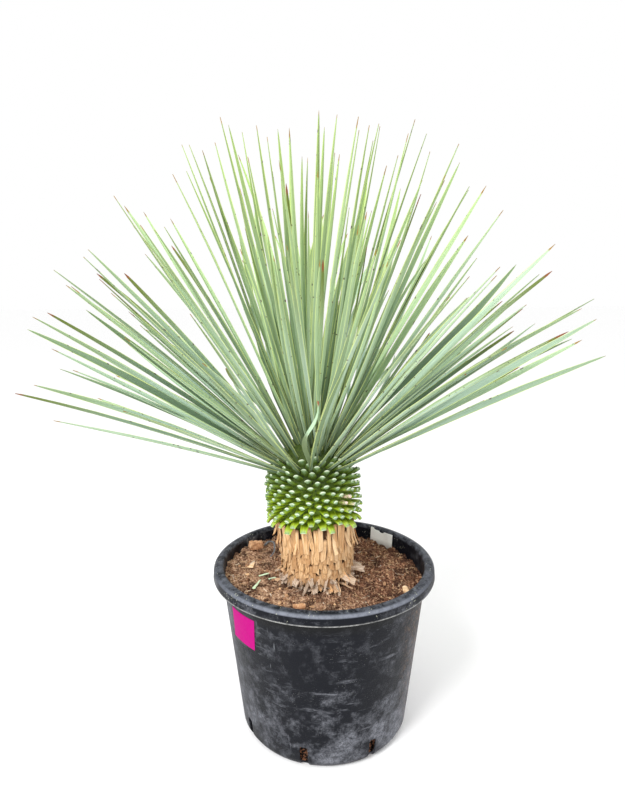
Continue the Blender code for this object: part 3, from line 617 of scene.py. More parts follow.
def prism_model(name, section, steps):
    """A unit run along +X with one cross-section, drawn out of a disc step by step.

    The section's points are width and height pairs round the run.  The returned arrays give, for
    each corner, its step along the run and its section point.
    """
    sides = len(section)
    bpy.ops.object.select_all(action="DESELECT")
    bpy.ops.mesh.primitive_circle_add(
        vertices=sides, radius=1, fill_type="NGON", rotation=(0, math.pi / 2, 0)
    )
    model = bpy.context.object
    model.name = name
    bpy.ops.object.transform_apply(rotation=True)
    bpy.ops.object.mode_set(mode="EDIT")
    bpy.ops.mesh.select_all(action="SELECT")
    for _ in range(steps):
        bpy.ops.mesh.extrude_region_move(TRANSFORM_OT_translate={"value": (1, 0, 0)})
    bpy.ops.mesh.select_all(action="SELECT")
    bpy.ops.mesh.normals_make_consistent(inside=False)
    bpy.ops.object.mode_set(mode="OBJECT")
    places = np.array([corner.co for corner in model.data.vertices])
    step = np.rint(places[:, 0]).astype(int)
    turn = np.arctan2(places[:, 2], places[:, 1])
    point = np.rint((turn - turn[step == 0].min()) / (2 * math.pi / sides)).astype(int) % sides
    shape = np.array(section)[point]
    run_map = model.data.uv_layers.new(name="run")
    for loop in model.data.loops:
        corner = loop.vertex_index
        run_map.data[loop.index].uv = (shape[corner, 0] + 0.5, step[corner] / steps)
    return model, step, shape


def swept(shape_and_step, centres, sides, ups, widths, heights):
    """Corners of one copy: the model's cross-section carried along a line of centres."""
    step, shape = shape_and_step
    wide = sides[step] * (shape[:, 0] * widths[step])[:, None]
    high = ups[step] * (shape[:, 1] * heights[step])[:, None]
    return centres[step] + wide + high


def copies_as_one(name, model, copies):
    """Copies of a model, each with its own corners, map and tones, joined into one piece."""
    made = []
    for places, tones in copies:
        mesh = model.data.copy()
        mesh.vertices.foreach_set("co", np.asarray(places, np.float32).ravel())
        for tone_name, tone in tones.items():
            layer = mesh.attributes.new(tone_name, "FLOAT", "POINT")
            values = np.full(len(mesh.vertices), tone, np.float32) if np.isscalar(tone) else tone
            layer.data.foreach_set("value", np.asarray(values, np.float32))
        copy = bpy.data.objects.new(name, mesh)
        bpy.context.scene.collection.objects.link(copy)
        made.append(copy)
    bpy.data.objects.remove(model)
    bpy.ops.object.select_all(action="DESELECT")
    for copy in made:
        copy.select_set(True)
    bpy.context.view_layer.objects.active = made[0]
    bpy.ops.object.join()
    made[0].name = name
    return made[0]


def scattered(edge):
    """A place drawn evenly over the soil, at least so far from the wall."""
    reach = (wall_radius(SOIL_LEVEL) - WALL - edge) * math.sqrt(draw.random())
    angle = draw.uniform(0, 2 * math.pi)
    return reach * math.cos(angle), reach * math.sin(angle)


def taken(x, y, stem_gap, bit_gap):
    """Whether the trunk or a loose bit stands too near to a place on the soil."""
    return math.hypot(x - PLANT_X, y) < STEM_RADIUS + stem_gap or from_loose_bits(x, y) < bit_gap


draw = random.Random(CRUMB_SEED)
bpy.ops.object.select_all(action="DESELECT")
bpy.ops.mesh.primitive_ico_sphere_add(subdivisions=1, radius=1)
crumb_model = bpy.context.object
crumb_corners = np.array([corner.co for corner in crumb_model.data.vertices])
crumbs = []
while len(crumbs) < CRUMBS:
    x, y = scattered(edge=0.004)
    if taken(x, y, stem_gap=0.010, bit_gap=0.002):
        continue
    size = SMALLEST_CRUMB + CRUMB_GROWTH * draw.random() ** 4
    half_axes = np.array([size * draw.uniform(0.8, 1.7), size, size * draw.uniform(0.5, 0.9)])
    jitter = np.array([[draw.uniform(0.75, 1.2)] * 3 for _ in crumb_corners])
    turned = (crumb_corners * jitter * half_axes) @ np.array(
        Matrix.Rotation(draw.uniform(0, math.pi), 3, "Z") @ Matrix.Rotation(draw.gauss(0, 0.4), 3, "X")
    )
    crumbs.append((turned + (x, y, crumbled_height(x, y) + size * 0.25), {"tone": draw.random()}))
soil_crumbs = copies_as_one("soil_crumbs", crumb_model, crumbs)
crumb_bark = Finish("soil_crumb", 0.9, specular=0.2)
crumb_bark.colour(
    crumb_bark.ramp(
        crumb_bark.attribute("tone"),
        (0.0, srgb(70, 45, 34)), (0.40, srgb(136, 98, 74)),
        (0.75, srgb(184, 140, 106)), (0.93, srgb(232, 190, 146)),
    )
)
crumb_bark.coat(crumb_bark.ramp(crumb_bark.grain(700), (0.4, 0), (0.7, 0.5)), srgb(40, 26, 20))
crumb_bark.bump(crumb_bark.grain(900), 0.0006)
finish_piece(soil_crumbs, crumb_bark, "soil", smooth=50)


def round_section(sides):
    """Points round a circle of width 1."""
    turns = [2 * math.pi * k / sides for k in range(sides)]
    return [(0.5 * math.cos(turn), 0.5 * math.sin(turn)) for turn in turns]


straw_model, straw_step, straw_shape = prism_model("straw", round_section(3), STRAW_STEPS)
straws = []
while len(straws) < STRAWS:
    middle = np.array(scattered(edge=0.006))
    heading = draw.uniform(0, 2 * math.pi)
    length = SHORTEST_STRAW + STRAW_GROWTH * draw.random() ** 2.5
    bow = draw.gauss(0, 0.25)
    share = np.linspace(-0.5, 0.5, STRAW_STEPS + 1)
    run = np.array([math.cos(heading), math.sin(heading)])
    sideways = np.array([-run[1], run[0]])
    flat = middle + np.outer(share * length, run) + np.outer((share**2 - 0.08) * bow * length, sideways)
    past_wall = np.hypot(flat[:, 0], flat[:, 1]).max() > wall_radius(SOIL_LEVEL) - WALL - 0.003
    if past_wall or taken(*middle, stem_gap=0.006, bit_gap=0.003):
        continue
    tilt = draw.gauss(0, 0.12)
    ground = np.array([crumbled_height(x, y) for x, y in flat])
    heights = np.maximum(ground.mean() + share * length * tilt, ground - 0.0006) + 0.0004
    thicks = draw.uniform(*STRAW_THICKS) * np.array([0.5, 1, 1, 0.9, 0.8, 0.4])
    ones = np.ones((STRAW_STEPS + 1, 1))
    centres = np.column_stack([flat, heights])
    rounds, ups = ones * (*sideways, 0), ones * (0, 0, 1)
    places = swept((straw_step, straw_shape), centres, rounds, ups, thicks * 1.4, thicks)
    straws.append((places, {"tone": draw.random()}))
soil_straws = copies_as_one("soil_straws", straw_model, straws)
straw_fibre = Finish("straw_fibre", 0.85, specular=0.25)
straw_fibre.colour(
    straw_fibre.ramp(
        straw_fibre.attribute("tone"),
        (0.0, srgb(84, 54, 40)), (0.35, srgb(158, 116, 86)), (0.7, srgb(208, 168, 126)),
        (0.9, srgb(232, 204, 168)), (0.97, srgb(242, 236, 220)),
    )
)
straw_fibre.bump(straw_fibre.grain(1200), 0.0003)
finish_piece(soil_straws, straw_fibre, "soil", smooth=60)

# Brown part of the trunk
# Dead leaf bases: flat tan strips that hang down in rows like shingles, with free frayed lower
# ends and dark gaps, over a dark fibrous core.  At the soil they break up into papery scraps.
PLANT_LEAN = math.radians(-2)
OLD_HEIGHT = 0.116
OLD_RADIUS_LOW = 0.060
OLD_RADIUS_HIGH = 0.0685
LEFT_HOLLOW = 0.0045
CORE_DRAW_IN = 0.0012
STRIP_ROW_TOPS = (0.120, 0.098, 0.081, 0.066, 0.052, 0.039, 0.028)
STRIP_ROW_LENGTHS = (0.048, 0.036, 0.029, 0.025, 0.022, 0.020, 0.018)
STRIPS_A_ROW = 41
STRIPS_UNDER_STUBS = 0.009
STRIP_STEPS = 7
STRIP_SEED = 5
STRIP_WIDTHS = (0.0070, 0.0120)
STRIP_THICKS = (0.0016, 0.0028)

# Single strips that stand off: angle in degrees, height of the top, length and curl
CURLED_STRIPS = (
    (-61, 0.108, 0.034, 0.0075), (-38, 0.104, 0.028, 0.0040), (-118, 0.100, 0.026, 0.0035),
    (-172, 0.113, 0.024, 0.0045), (-158, 0.109, 0.028, 0.0035), (172, 0.110, 0.022, 0.0042),
    (2, 0.112, 0.044, 0.0048), (-14, 0.107, 0.040, 0.0040), (-26, 0.113, 0.034, 0.0036),
)
CURLED_LIFT = 0.0045
FRAYS = 300
FRAY_STEPS = 4
FRAY_LENGTHS = (0.006, 0.018)
FRAY_THICKS = (0.0003, 0.0008)
SCRAPS = 180
SCRAP_STEPS = 6
SCRAP_SEED = 17
SCRAP_WIDTHS = (0.0034, 0.0105)
SCRAP_THICKS = (0.0005, 0.0010)
SCRAP_LENGTH = 0.026
SCRAP_CLUMP = math.radians(25)

plant_matrix = Matrix.Translation((PLANT_X, 0, SOIL_LEVEL)) @ Matrix.Rotation(PLANT_LEAN, 4, "Y")
plant_turn = np.array(plant_matrix.to_3x3())
plant_foot = np.array(plant_matrix.translation)


def leaned(places):
    """Points built upright about the plant's own axis, put where the plant stands."""
    return places @ plant_turn.T + plant_foot


def old_radius(height, angle=0):
    """Radius of the brown part, which draws in on its left side halfway up."""
    level = min(1, max(0, height / OLD_HEIGHT))
    hollow = LEFT_HOLLOW * max(0, -math.cos(angle)) * math.sin(math.pi * level)
    return OLD_RADIUS_LOW + (OLD_RADIUS_HIGH - OLD_RADIUS_LOW) * height / OLD_HEIGHT - hollow


core_rings = [(STEM_RADIUS - 0.002, -BURIED), (STEM_RADIUS - 0.002, 0)]
for height in np.linspace(0.006, OLD_HEIGHT + 0.004, 12):
    core_rings.append((old_radius(height) - CORE_DRAW_IN, height))
old_core = turned_body("trunk_fibre_core", core_rings, 72)
for corner in old_core.data.vertices:
    ridge = noise.noise(Vector((corner.co.x * 160, corner.co.y * 160, corner.co.z * 22)))
    turn = math.atan2(corner.co.y, corner.co.x)
    stretch = (1 + 0.02 * ridge) * old_radius(corner.co.z, turn) / old_radius(corner.co.z)
    corner.co.x *= stretch
    corner.co.y *= stretch
old_core.data.transform(plant_matrix)
dark_fibre = Finish("dark_trunk_fibre", 0.95, specular=0.2)
dark_grain = dark_fibre.grain(220, detail=4, roughness=0.6, place=dark_fibre.stretched((1, 1, 0.2)))
dark_fibre.colour(dark_fibre.ramp(dark_grain, (0.3, srgb(44, 28, 20)), (0.7, srgb(112, 78, 52))))
dark_fibre.bump(dark_grain, 0.002)
finish_piece(old_core, dark_fibre, "trunk_old_bases")

STRIP_SECTION = [(-0.5, 0.3), (-0.2, 0.6), (0.2, 0.6), (0.5, 0.3), (0.4, -0.4), (-0.4, -0.4)]
strip_model, strip_step, strip_shape = prism_model("dead_strip", STRIP_SECTION, STRIP_STEPS)
strip_share = np.linspace(0, 1, STRIP_STEPS + 1)
draw = random.Random(STRIP_SEED)
strip_draws = []
for row, (row_top, row_length) in enumerate(zip(STRIP_ROW_TOPS, STRIP_ROW_LENGTHS)):
    for column in range(STRIPS_A_ROW):
        angle = 2 * math.pi * (column + 0.5 * (row % 2) + draw.uniform(-0.25, 0.25)) / STRIPS_A_ROW
        top = min(row_top + draw.uniform(-0.006, 0.006), OLD_HEIGHT + STRIPS_UNDER_STUBS)
        length = min(row_length * draw.uniform(0.75, 1.15), top - 0.003)
        lift = 0.0002 + 0.0016 * draw.random() ** 2
        strip_draws.append((angle, top, length, lift, 0.003 * draw.random() ** 6))
for turn, top, length, curl in CURLED_STRIPS:
    strip_draws.append((math.radians(turn), top, length, CURLED_LIFT, curl))
strips = []
for angle, top, length, lift, curl in strip_draws:
    heights = top - length * strip_share
    angles = angle + draw.gauss(0, 0.05) * length * strip_share / OLD_RADIUS_LOW
    angles = angles + 0.008 * np.sin(strip_share * 4 + draw.uniform(0, 6))
    radii = np.array([old_radius(height, angle) for height in heights]) + 0.0008 + 0.0030 * strip_share
    radii = radii + lift * strip_share + curl * strip_share**4
    centres = np.column_stack([radii * np.cos(angles), radii * np.sin(angles), heights])
    twist = draw.gauss(0, 0.12)
    outs = np.column_stack([np.cos(angles + twist), np.sin(angles + twist), 0 * angles])
    rounds = np.column_stack([-np.sin(angles + twist), np.cos(angles + twist), 0 * angles])
    widths = draw.uniform(*STRIP_WIDTHS) * (1 - 0.12 * strip_share)
    thicks = draw.uniform(*STRIP_THICKS) * (1 - 0.35 * strip_share)
    places = swept((strip_step, strip_shape), centres, rounds, outs, widths, thicks)
    places[:, 2] += draw.gauss(0, 0.005) * strip_shape[:, 0] * (strip_step == STRIP_STEPS)
    strips.append((leaned(places), {"tone": draw.random() if curl < 0.007 else 1.0}))
old_strips = copies_as_one("dead_leaf_strips", strip_model, strips)
tan = Finish("dead_leaf_base", 0.8, specular=0.3)
tan_across, tan_along, _ = tan.along_and_across()
tan_tone = tan.attribute("tone")
tan_fibres = tan.fibres(13, 2.2, 90, detail=4, roughness=0.6)
tan.colour(
    tan.ramp(
        tan_fibres,
        (0.28, srgb(100, 64, 38)), (0.41, srgb(204, 155, 104)),
        (0.56, srgb(243, 200, 148)), (0.72, srgb(254, 232, 198)),
    )
)
tan.coat(tan.ramp(tan.off_middle(tan_across), (0.36, 0), (0.48, 0.6)), srgb(124, 84, 52))
tan.coat(tan.ramp(tan_tone, (0.0, 0.55), (0.5, 0), (1.0, 0)), srgb(184, 132, 84))
tan.coat(tan.ramp(tan_tone, (0.7, 0), (1.0, 0.55)), srgb(238, 208, 168))
tan.coat(tan.ramp(tan_along, (0.0, 0.7), (0.12, 0)), srgb(110, 74, 48))
weathered = tan.rise(tan.split(tan.place)[2], SOIL_LEVEL + 0.034, SOIL_LEVEL + 0.004)
tan.coat(tan.both(weathered, 0.6), srgb(156, 128, 104))
tan.bump(tan_fibres, 0.0012)
finish_piece(old_strips, tan, "trunk_old_bases", smooth=50)

fray_model, fray_step, fray_shape = prism_model("fray", round_section(3), FRAY_STEPS)
fray_share = np.linspace(0, 1, FRAY_STEPS + 1)
frays = []
for _ in range(FRAYS):
    angle = draw.uniform(0, 2 * math.pi)
    top = 0.010 + 0.098 * draw.random() ** 1.6
    length = min(draw.uniform(*FRAY_LENGTHS), top - 0.001)
    heading = angle + draw.gauss(0, 0.8)
    lift = 0.0020 + 0.0045 * draw.random() ** 2
    drift = draw.gauss(0, 0.06)
    radii = old_radius(top, angle) + 0.0005 + lift * fray_share
    angles = angle + drift * fray_share
    centres = np.column_stack([radii * np.cos(angles), radii * np.sin(angles), top - length * fray_share])
    ones = np.ones((FRAY_STEPS + 1, 1))
    rounds = ones * (-math.sin(heading), math.cos(heading), 0)
    outs = ones * (math.cos(heading), math.sin(heading), 0)
    thicks = draw.uniform(*FRAY_THICKS) * np.array([1, 1, 0.9, 0.7, 0.3])
    places = swept((fray_step, fray_shape), centres, rounds, outs, thicks * 1.6, thicks)
    frays.append((leaned(places), {"tone": draw.random()}))
old_frays = copies_as_one("dead_leaf_frays", fray_model, frays)
finish_piece(old_frays, tan, "trunk_old_bases", smooth=60)

SCRAP_SECTION = [
    (-0.5, 0.9), (-0.2, 0.1), (0.2, 0.45), (0.5, -0.3), (0.5, -1.1), (0.2, -0.45), (-0.2, -0.8), (-0.5, 0.1),
]
scrap_model, scrap_step, scrap_shape = prism_model("papery_scrap", SCRAP_SECTION, SCRAP_STEPS)
scrap_share = np.linspace(0, 1, SCRAP_STEPS + 1)
draw = random.Random(SCRAP_SEED)
scraps = []
for k in range(SCRAPS):
    angle = 2 * math.pi * (k + draw.uniform(-0.5, 0.5)) / SCRAPS
    turn = angle + draw.gauss(0, 0.95)
    reach = 1 + 0.6 * noise.noise(Vector((2.3 * math.cos(angle), 2.3 * math.sin(angle), 4)))
    reach *= 1 - 0.35 * max(0, -math.cos(angle)) + 0.30 * max(0, math.cos(angle + SCRAP_CLUMP)) ** 3
    length = SCRAP_LENGTH * reach * draw.uniform(0.35, 1.1)
    root_height = draw.uniform(0.004, 0.034)
    end_height = draw.uniform(0.003, 0.8 * root_height + 0.003)
    run = np.array([math.cos(turn), math.sin(turn)])
    root = np.array([math.cos(angle), math.sin(angle)]) * (OLD_RADIUS_LOW - 0.003)
    flat = root + np.outer(scrap_share * length, run)
    arch = draw.uniform(-0.001, 0.006) * np.sin(scrap_share * math.pi * draw.uniform(0.8, 1.8))
    heights = np.maximum(root_height + (end_height - root_height) * scrap_share**0.8 + arch, 0.0025)
    centres = np.column_stack([flat, heights])
    roll = draw.gauss(0, 0.9) + draw.gauss(0, 1.2) * scrap_share
    rounds = np.column_stack([-run[1] * np.cos(roll), run[0] * np.cos(roll), np.sin(roll)])
    slopes = np.column_stack([run[1] * np.sin(roll), -run[0] * np.sin(roll), np.cos(roll)])
    ragged = np.array([draw.uniform(0.75, 1.2) for _ in scrap_share])
    widths = draw.uniform(*SCRAP_WIDTHS) * ragged
    thicks = np.full(SCRAP_STEPS + 1, draw.uniform(*SCRAP_THICKS))
    places = swept((scrap_step, scrap_shape), centres, rounds, slopes, widths, thicks)
    torn = draw.gauss(0, 0.5) * scrap_shape[:, 0] * (scrap_step >= SCRAP_STEPS - 1) * widths[-1]
    places[:, :2] += np.outer(torn, run)
    scraps.append((leaned(places), {"tone": draw.random()}))
papery_scraps = copies_as_one("papery_scraps", scrap_model, scraps)
papery = Finish("papery_leaf_base", 0.85, specular=0.25)
papery_tone = papery.attribute("tone")
papery_fibres = papery.fibres(16, 3, 70, detail=4, roughness=0.6)
papery.colour(
    papery.ramp(
        papery_fibres, (0.28, srgb(88, 68, 56)), (0.44, srgb(180, 152, 126)), (0.64, srgb(244, 228, 210))
    )
)
papery.coat(papery.ramp(papery_tone, (0.0, 0.5), (0.30, 0)), srgb(120, 92, 72))
papery.coat(papery.ramp(papery_tone, (0.6, 0), (0.95, 0.75)), srgb(236, 182, 122))
papery.bump(papery_fibres, 0.0008)
finish_piece(papery_scraps, papery, "trunk_old_bases", smooth=50)

# Green part of the trunk
# Living leaf bases cut short when the old leaves were trimmed: keeled wedges in spiral rows at the
# golden angle, moss green at the root, glaucous outside, and pale on the upper side of each cut end,
# where the knife went through: a pale cut with a painted highlight over it.
GOLDEN_ANGLE = math.radians(137.508)
GREEN_HEIGHT = 0.096
GREEN_RADIUS = 0.0695
STUBS = 234
STUB_SEED = 8
STUB_BOW_SEED = 9
STUB_TURN = math.radians(50)
STUB_LENGTH = 0.0165
STUB_WIDTH = 0.0172
STUB_TIP_WIDTH = 0.0098
STUB_THICK = 0.0092
TOP_STUBS = 54
STUB_SUNK = 0.005
FIRST_STUB = 0.006
LAST_STUB = 0.005
HANGING_STUBS = 38
HANG_KNEE = 0.011
HANG_REACH = 0.0155
HANG_DROP = 0.0085
HANG_START = 0.003
WOUND_PLACE = (0.043, -0.063, SOIL_LEVEL + 0.167)
GREEN_TAPER = 0.009
GREEN_TAPER_HEIGHT = 0.020


def green_radius(height):
    """Radius of the green part's core, which draws in just under the crown."""
    below_top = OLD_HEIGHT + GREEN_HEIGHT - height
    return GREEN_RADIUS - GREEN_TAPER * max(0, 1 - below_top / GREEN_TAPER_HEIGHT)


def out_and_side(angle):
    """Level directions at an angle: away from the plant's axis, and square to that."""
    return np.array([math.cos(angle), math.sin(angle), 0]), np.array([-math.sin(angle), math.cos(angle), 0])


def directions(line):
    """Unit directions along a line of points."""
    runs = np.gradient(line, axis=0)
    return runs / np.linalg.norm(runs, axis=1)[:, None]


def rolled(sides, ups, roll):
    """The same two crosswise directions, rolled about the line by an angle."""
    return sides * np.cos(roll) + ups * np.sin(roll), ups * np.cos(roll) - sides * np.sin(roll)


green_rings = [
    (green_radius(height) - 0.0015, height)
    for height in np.linspace(OLD_HEIGHT - 0.001, OLD_HEIGHT + GREEN_HEIGHT + 0.004, 14)
]
green_core = turned_body("green_trunk_core", green_rings, 72)
green_core.data.transform(plant_matrix)
moss = Finish("green_sheath", 0.65, specular=0.35)
moss_grain = moss.grain(260, detail=4, roughness=0.6)
# The core darkens towards its top with painted shade under the leaf head; the crown mound, which shares this
# finish, lies wholly in it
moss_top_shade = moss.rise(moss.split(moss.place)[2], SOIL_LEVEL + 0.165, SOIL_LEVEL + 0.205)
moss.colour(moss.ramp(moss_grain, (0.3, srgb(48, 68, 2)), (0.7, srgb(108, 134, 18))))
moss.coat(moss.both(moss_top_shade, 0.7), srgb(34, 50, 10))
moss.bump(moss_grain, 0.0015)
finish_piece(green_core, moss, "trunk_green_bases")

STUB_SHARES = np.array([0, 0.25, 0.5, 0.72, 0.86, 0.95, 1.0])
STUB_SECTION = [
    (-0.5, 0.05), (-0.27, 0.32), (0, 0.42), (0.27, 0.32),
    (0.5, 0.05), (0.24, -0.34), (0, -0.52), (-0.24, -0.34),
]
stub_model, stub_step, stub_shape = prism_model("cut_leaf_base", STUB_SECTION, len(STUB_SHARES) - 1)
stub_upper = (stub_shape[:, 1] - stub_shape[:, 1].min()) / np.ptp(stub_shape[:, 1])
draw = random.Random(STUB_SEED)
bow_draw = random.Random(STUB_BOW_SEED)
upright = np.array([0, 0, 1])
stubs = []
for i in range(STUBS + TOP_STUBS):
    share = (i + 0.5) / STUBS
    angle = STUB_TURN + i * GOLDEN_ANGLE + draw.uniform(-0.04, 0.04)
    out, side = out_and_side(angle)
    height = OLD_HEIGHT + FIRST_STUB + (GREEN_HEIGHT - FIRST_STUB - LAST_STUB) * share
    pitch = math.radians(-18 + 52 * share) + math.radians(draw.uniform(-5, 5))
    along = out * math.cos(pitch) + upright * math.sin(pitch)
    length = STUB_LENGTH * draw.uniform(0.80, 1.14)
    tip_width = STUB_TIP_WIDTH * draw.uniform(0.85, 1.15)
    root = out * (green_radius(height) - STUB_SUNK) + upright * height
    if i < HANGING_STUBS:
        drop = HANG_START + (1 - i / HANGING_STUBS) * HANG_DROP
        knee = out * (GREEN_RADIUS + HANG_KNEE) + upright * height
        tip = out * (GREEN_RADIUS + HANG_REACH) + upright * (height - drop)
    else:
        tip = root + along * (length + STUB_SUNK)
        knee = (root + tip) / 2 + upright * bow_draw.uniform(-0.0006, 0.0014)
    shares = STUB_SHARES[:, None]
    centres = (1 - shares) ** 2 * root + 2 * shares * (1 - shares) * knee + shares**2 * tip
    rounds = np.outer(np.ones(len(STUB_SHARES)), side)
    ups = np.cross(directions(centres), rounds)
    ups[ups @ (upright + 0.2 * out) < 0] *= -1
    rounds, ups = rolled(rounds, ups, bow_draw.gauss(0, 0.16))
    widths = STUB_WIDTH + (tip_width - STUB_WIDTH) * STUB_SHARES**0.8
    thicks = STUB_THICK * (1 - 0.30 * STUB_SHARES)
    places = swept((stub_step, stub_shape), centres, rounds, ups, widths, thicks)
    stubs.append((leaned(places), {"tone": bow_draw.random(), "level": share, "upper": stub_upper}))
cut_bases = copies_as_one("cut_leaf_bases", stub_model, stubs)
green = Finish("cut_leaf_base", 0.5, specular=0.4)
green_across, green_along, _ = green.along_and_across()
green_tone = green.attribute("tone")
green_level = green.attribute("level")
green_lines = green.fibres(18, 1.5, 60)
glaucous = green.ramp(green_lines, (0.3, srgb(94, 124, 88)), (0.7, srgb(150, 182, 142)))
outer_half = green.both(
    green.ramp(green_along, (0.44, 0), (0.74, 1)), green.ramp(green_level, (0.0, 0.75), (0.30, 1))
)
high_up = green.ramp(green_level, (0.45, 0), (0.85, 0.85))
green.colour(green.ramp(green_lines, (0.3, srgb(142, 168, 10)), (0.7, srgb(200, 220, 62))))
green.coat(green.either(outer_half, high_up), glaucous)
green.coat(green.ramp(green_along, (0.26, 0.9), (0.58, 0)), srgb(98, 118, 4))
# The pale margins fade on the upper rows, and those rows are darkened: painted shade under the leaf head
stub_margin = green.both(
    green.ramp(green.off_middle(green_across), (0.30, 0), (0.44, 0.8)),
    green.ramp(green_level, (0.35, 1), (0.9, 0.45)),
)
green.coat(stub_margin, srgb(170, 200, 44))
green.coat(green.ramp(green_level, (0.35, 0), (1.0, 0.50)), srgb(74, 98, 28))
# The pale cut end, lightest on its upper side: a pale cut with a painted highlight over it
cut_end_and_highlight = green.both(
    green.rise(green_along, 0.90, 0.97),
    green.ramp(green.attribute("upper"), (0.40, 0), (0.85, 1)),
    green.ramp(green_tone, (0, 0.55), (0.6, 1)),
)
green.coat(cut_end_and_highlight, green.ramp(green.grain(500), (0.35, srgb(206, 226, 196)), (0.65, srgb(244, 248, 226))))
wound_distance = green.tree.nodes.new("ShaderNodeVectorMath")
wound_distance.operation = "DISTANCE"
green.feed(wound_distance.inputs[0], green.place)
wound_distance.inputs[1].default_value = WOUND_PLACE
wound = green.both(
    green.rise(wound_distance.outputs["Value"], 0.020, 0.012),
    green.ramp(green.grain(240, detail=4), (0.40, 0), (0.55, 1)),
)
green.coat(wound, srgb(246, 216, 200))
green.bump(green_lines, 0.0006)
finish_piece(cut_bases, green, "trunk_green_bases", smooth=40)

# Leaf head
# A round rosette of long narrow stiff leaves at the golden angle.  Each is glaucous blue-green with
# fine lengthwise lines, a thin pale yellow margin and a sharp brown tip, and widest near its middle.
FILL_LEAVES = 210
FILL_SEED = 194
SPARE_SIDE = 0.5
SPARE_RISE = math.radians(52)
LEAF_WIDTH = 0.0172
LEAF_THICK = 0.0024
LOW_LEAF_LENGTH = 0.430
TOP_LEAF_LENGTH = 0.530
TIP_CLEARANCE = 0.0006
LOWEST_LEAF = math.radians(15)
HIGHER_IN_FRONT = math.radians(6)
HIGHER_ON_THE_RIGHT = math.radians(3)
FIRST_LEAF = math.radians(180)
LEAF_SPREAD = 1.2
LEAF_JITTER = 0.07
LEAF_ROLL = math.radians(14)
BLADE_SEED = 77
BLADE_NARROWING = 0.76
FRONT_NARROWING = 0.34
LEAF_TWIST = math.radians(22)
FACE_TURN = math.radians(48)
LEAF_SWAY = 0.0160
LEAF_ARCH = 0.0080
THIN_LEAVES = 84
THIN_SEED = 31
THIN_HALF_TURN = math.radians(80)
LOWEST_THIN_LEAF = math.radians(36)

# The gaps that the front view shows in the fan of leaves: each from one angle of the fan to
# another, in degrees up from the right, with the share of the thin leaves that are missing there.
# Of the leaves at the golden angle a smaller part is missing, and the rest are narrower.
FAN_GAPS = (
    (14, 24, 0.90), (24, 33, 0.95), (33, 40, 0.75), (44, 63, 0.95), (87, 97, 0.70),
    (97, 111, 0.50), (111, 123, 0.95), (123, 137, 0.85), (143, 161, 0.75), (167, 180, 0.90),
)
GAP_SEED = 3
GAP_LEAF_LOSS = 0.30
GAP_NARROWING = 0.34
ROOT_STRAY = 0.012
SHORT_LEAF = 0.44
BURNT_SHORT_SHARE = 0.26
BURNT_LONG_SHARE = 0.05
TIP_AND_ROOT_SEED = 12
BASE_OUT = 0.015
BASE_DOWN = 0.026
ROOT_RADIUS = 0.051
ROOT_LIFT = 0.0065
ROOT_RISE = 0.043
FAN_CENTRE = 0.018
OUTLINE_SEED = 1194
NEARER = (0.05, 0.25)

# The leaves whose tips form the outline of the front view: the angle of the fan in
# degrees up from the right, and the reach from its centre.  Each tip is then drawn towards the
# viewpoint by a share of NEARER, which keeps its place in that view.
OUTLINE_LEAVES = (
    (17, 0.535), (21.5, 0.505), (22.5, 0.490), (24, 0.540), (27, 0.525), (27.5, 0.550),
    (30, 0.410), (33.5, 0.450), (36, 0.515), (37, 0.495), (39.5, 0.545), (43.5, 0.455),
    (48.5, 0.440), (50.5, 0.525), (53, 0.460), (55.5, 0.540), (58, 0.525), (61.5, 0.550),
    (62.5, 0.515), (63, 0.575), (65.5, 0.480), (68.5, 0.570), (71, 0.585), (72, 0.525),
    (73.5, 0.505), (76.5, 0.565), (78, 0.560), (80, 0.570), (82.5, 0.510), (83.5, 0.570),
    (85.5, 0.550), (86.5, 0.575), (89.5, 0.505), (91.5, 0.550), (93.5, 0.550), (95.5, 0.540),
    (97, 0.560), (99.5, 0.515), (101.5, 0.570), (102.5, 0.585), (104.5, 0.550), (107, 0.545),
    (111, 0.525), (113.5, 0.530), (120, 0.465), (122, 0.470), (124, 0.530), (125, 0.495),
    (133, 0.450), (134.5, 0.520), (137.5, 0.475), (141.5, 0.545), (142.5, 0.515), (144.5, 0.465),
    (149, 0.520), (151, 0.540), (153.5, 0.540), (158, 0.445), (163.5, 0.505), (166, 0.535),
)
LEAF_SHARES = np.array([0, 0.05, 0.11, 0.20, 0.32, 0.46, 0.60, 0.74, 0.86, 0.945, 0.98, 1])
LEAF_WIDE = np.interp(
    LEAF_SHARES,
    (0, 0.11, 0.25, 0.45, 0.62, 0.78, 0.90, 0.945, 0.98, 1),
    (0.42, 0.47, 0.72, 0.96, 1, 0.83, 0.52, 0.36, 0.22, 0.03),
)
BURNT_WIDER = np.interp(LEAF_SHARES, (0, 0.78, 0.90, 0.98, 1), (1, 1, 1.25, 1.9, 2.5))
LEAF_HIGH = np.interp(LEAF_SHARES, (0, 0.42, 0.78, 1), (1.2, 1, 0.75, 0.2))
LEAF_SECTION = [(-0.5, 1.15), (0, 0.10), (0.5, 1.15), (0.3, 0.30), (0, -0.50), (-0.3, 0.30)]
UNDERSIDE_HEIGHTS = (0.30, -0.50)


def leaf_root(angle, rise):
    """Where a leaf of this direction and slope leaves the crown."""
    reach = ROOT_RADIUS * math.cos(rise) ** 0.8
    height = OLD_HEIGHT + GREEN_HEIGHT + ROOT_LIFT + ROOT_RISE * math.sin(rise)
    return Vector((reach * math.cos(angle), reach * math.sin(angle), height))


crown = Vector((0, 0, OLD_HEIGHT + GREEN_HEIGHT + FAN_CENTRE))
viewpoint_from_plant = plant_matrix.inverted() @ VIEWPOINT


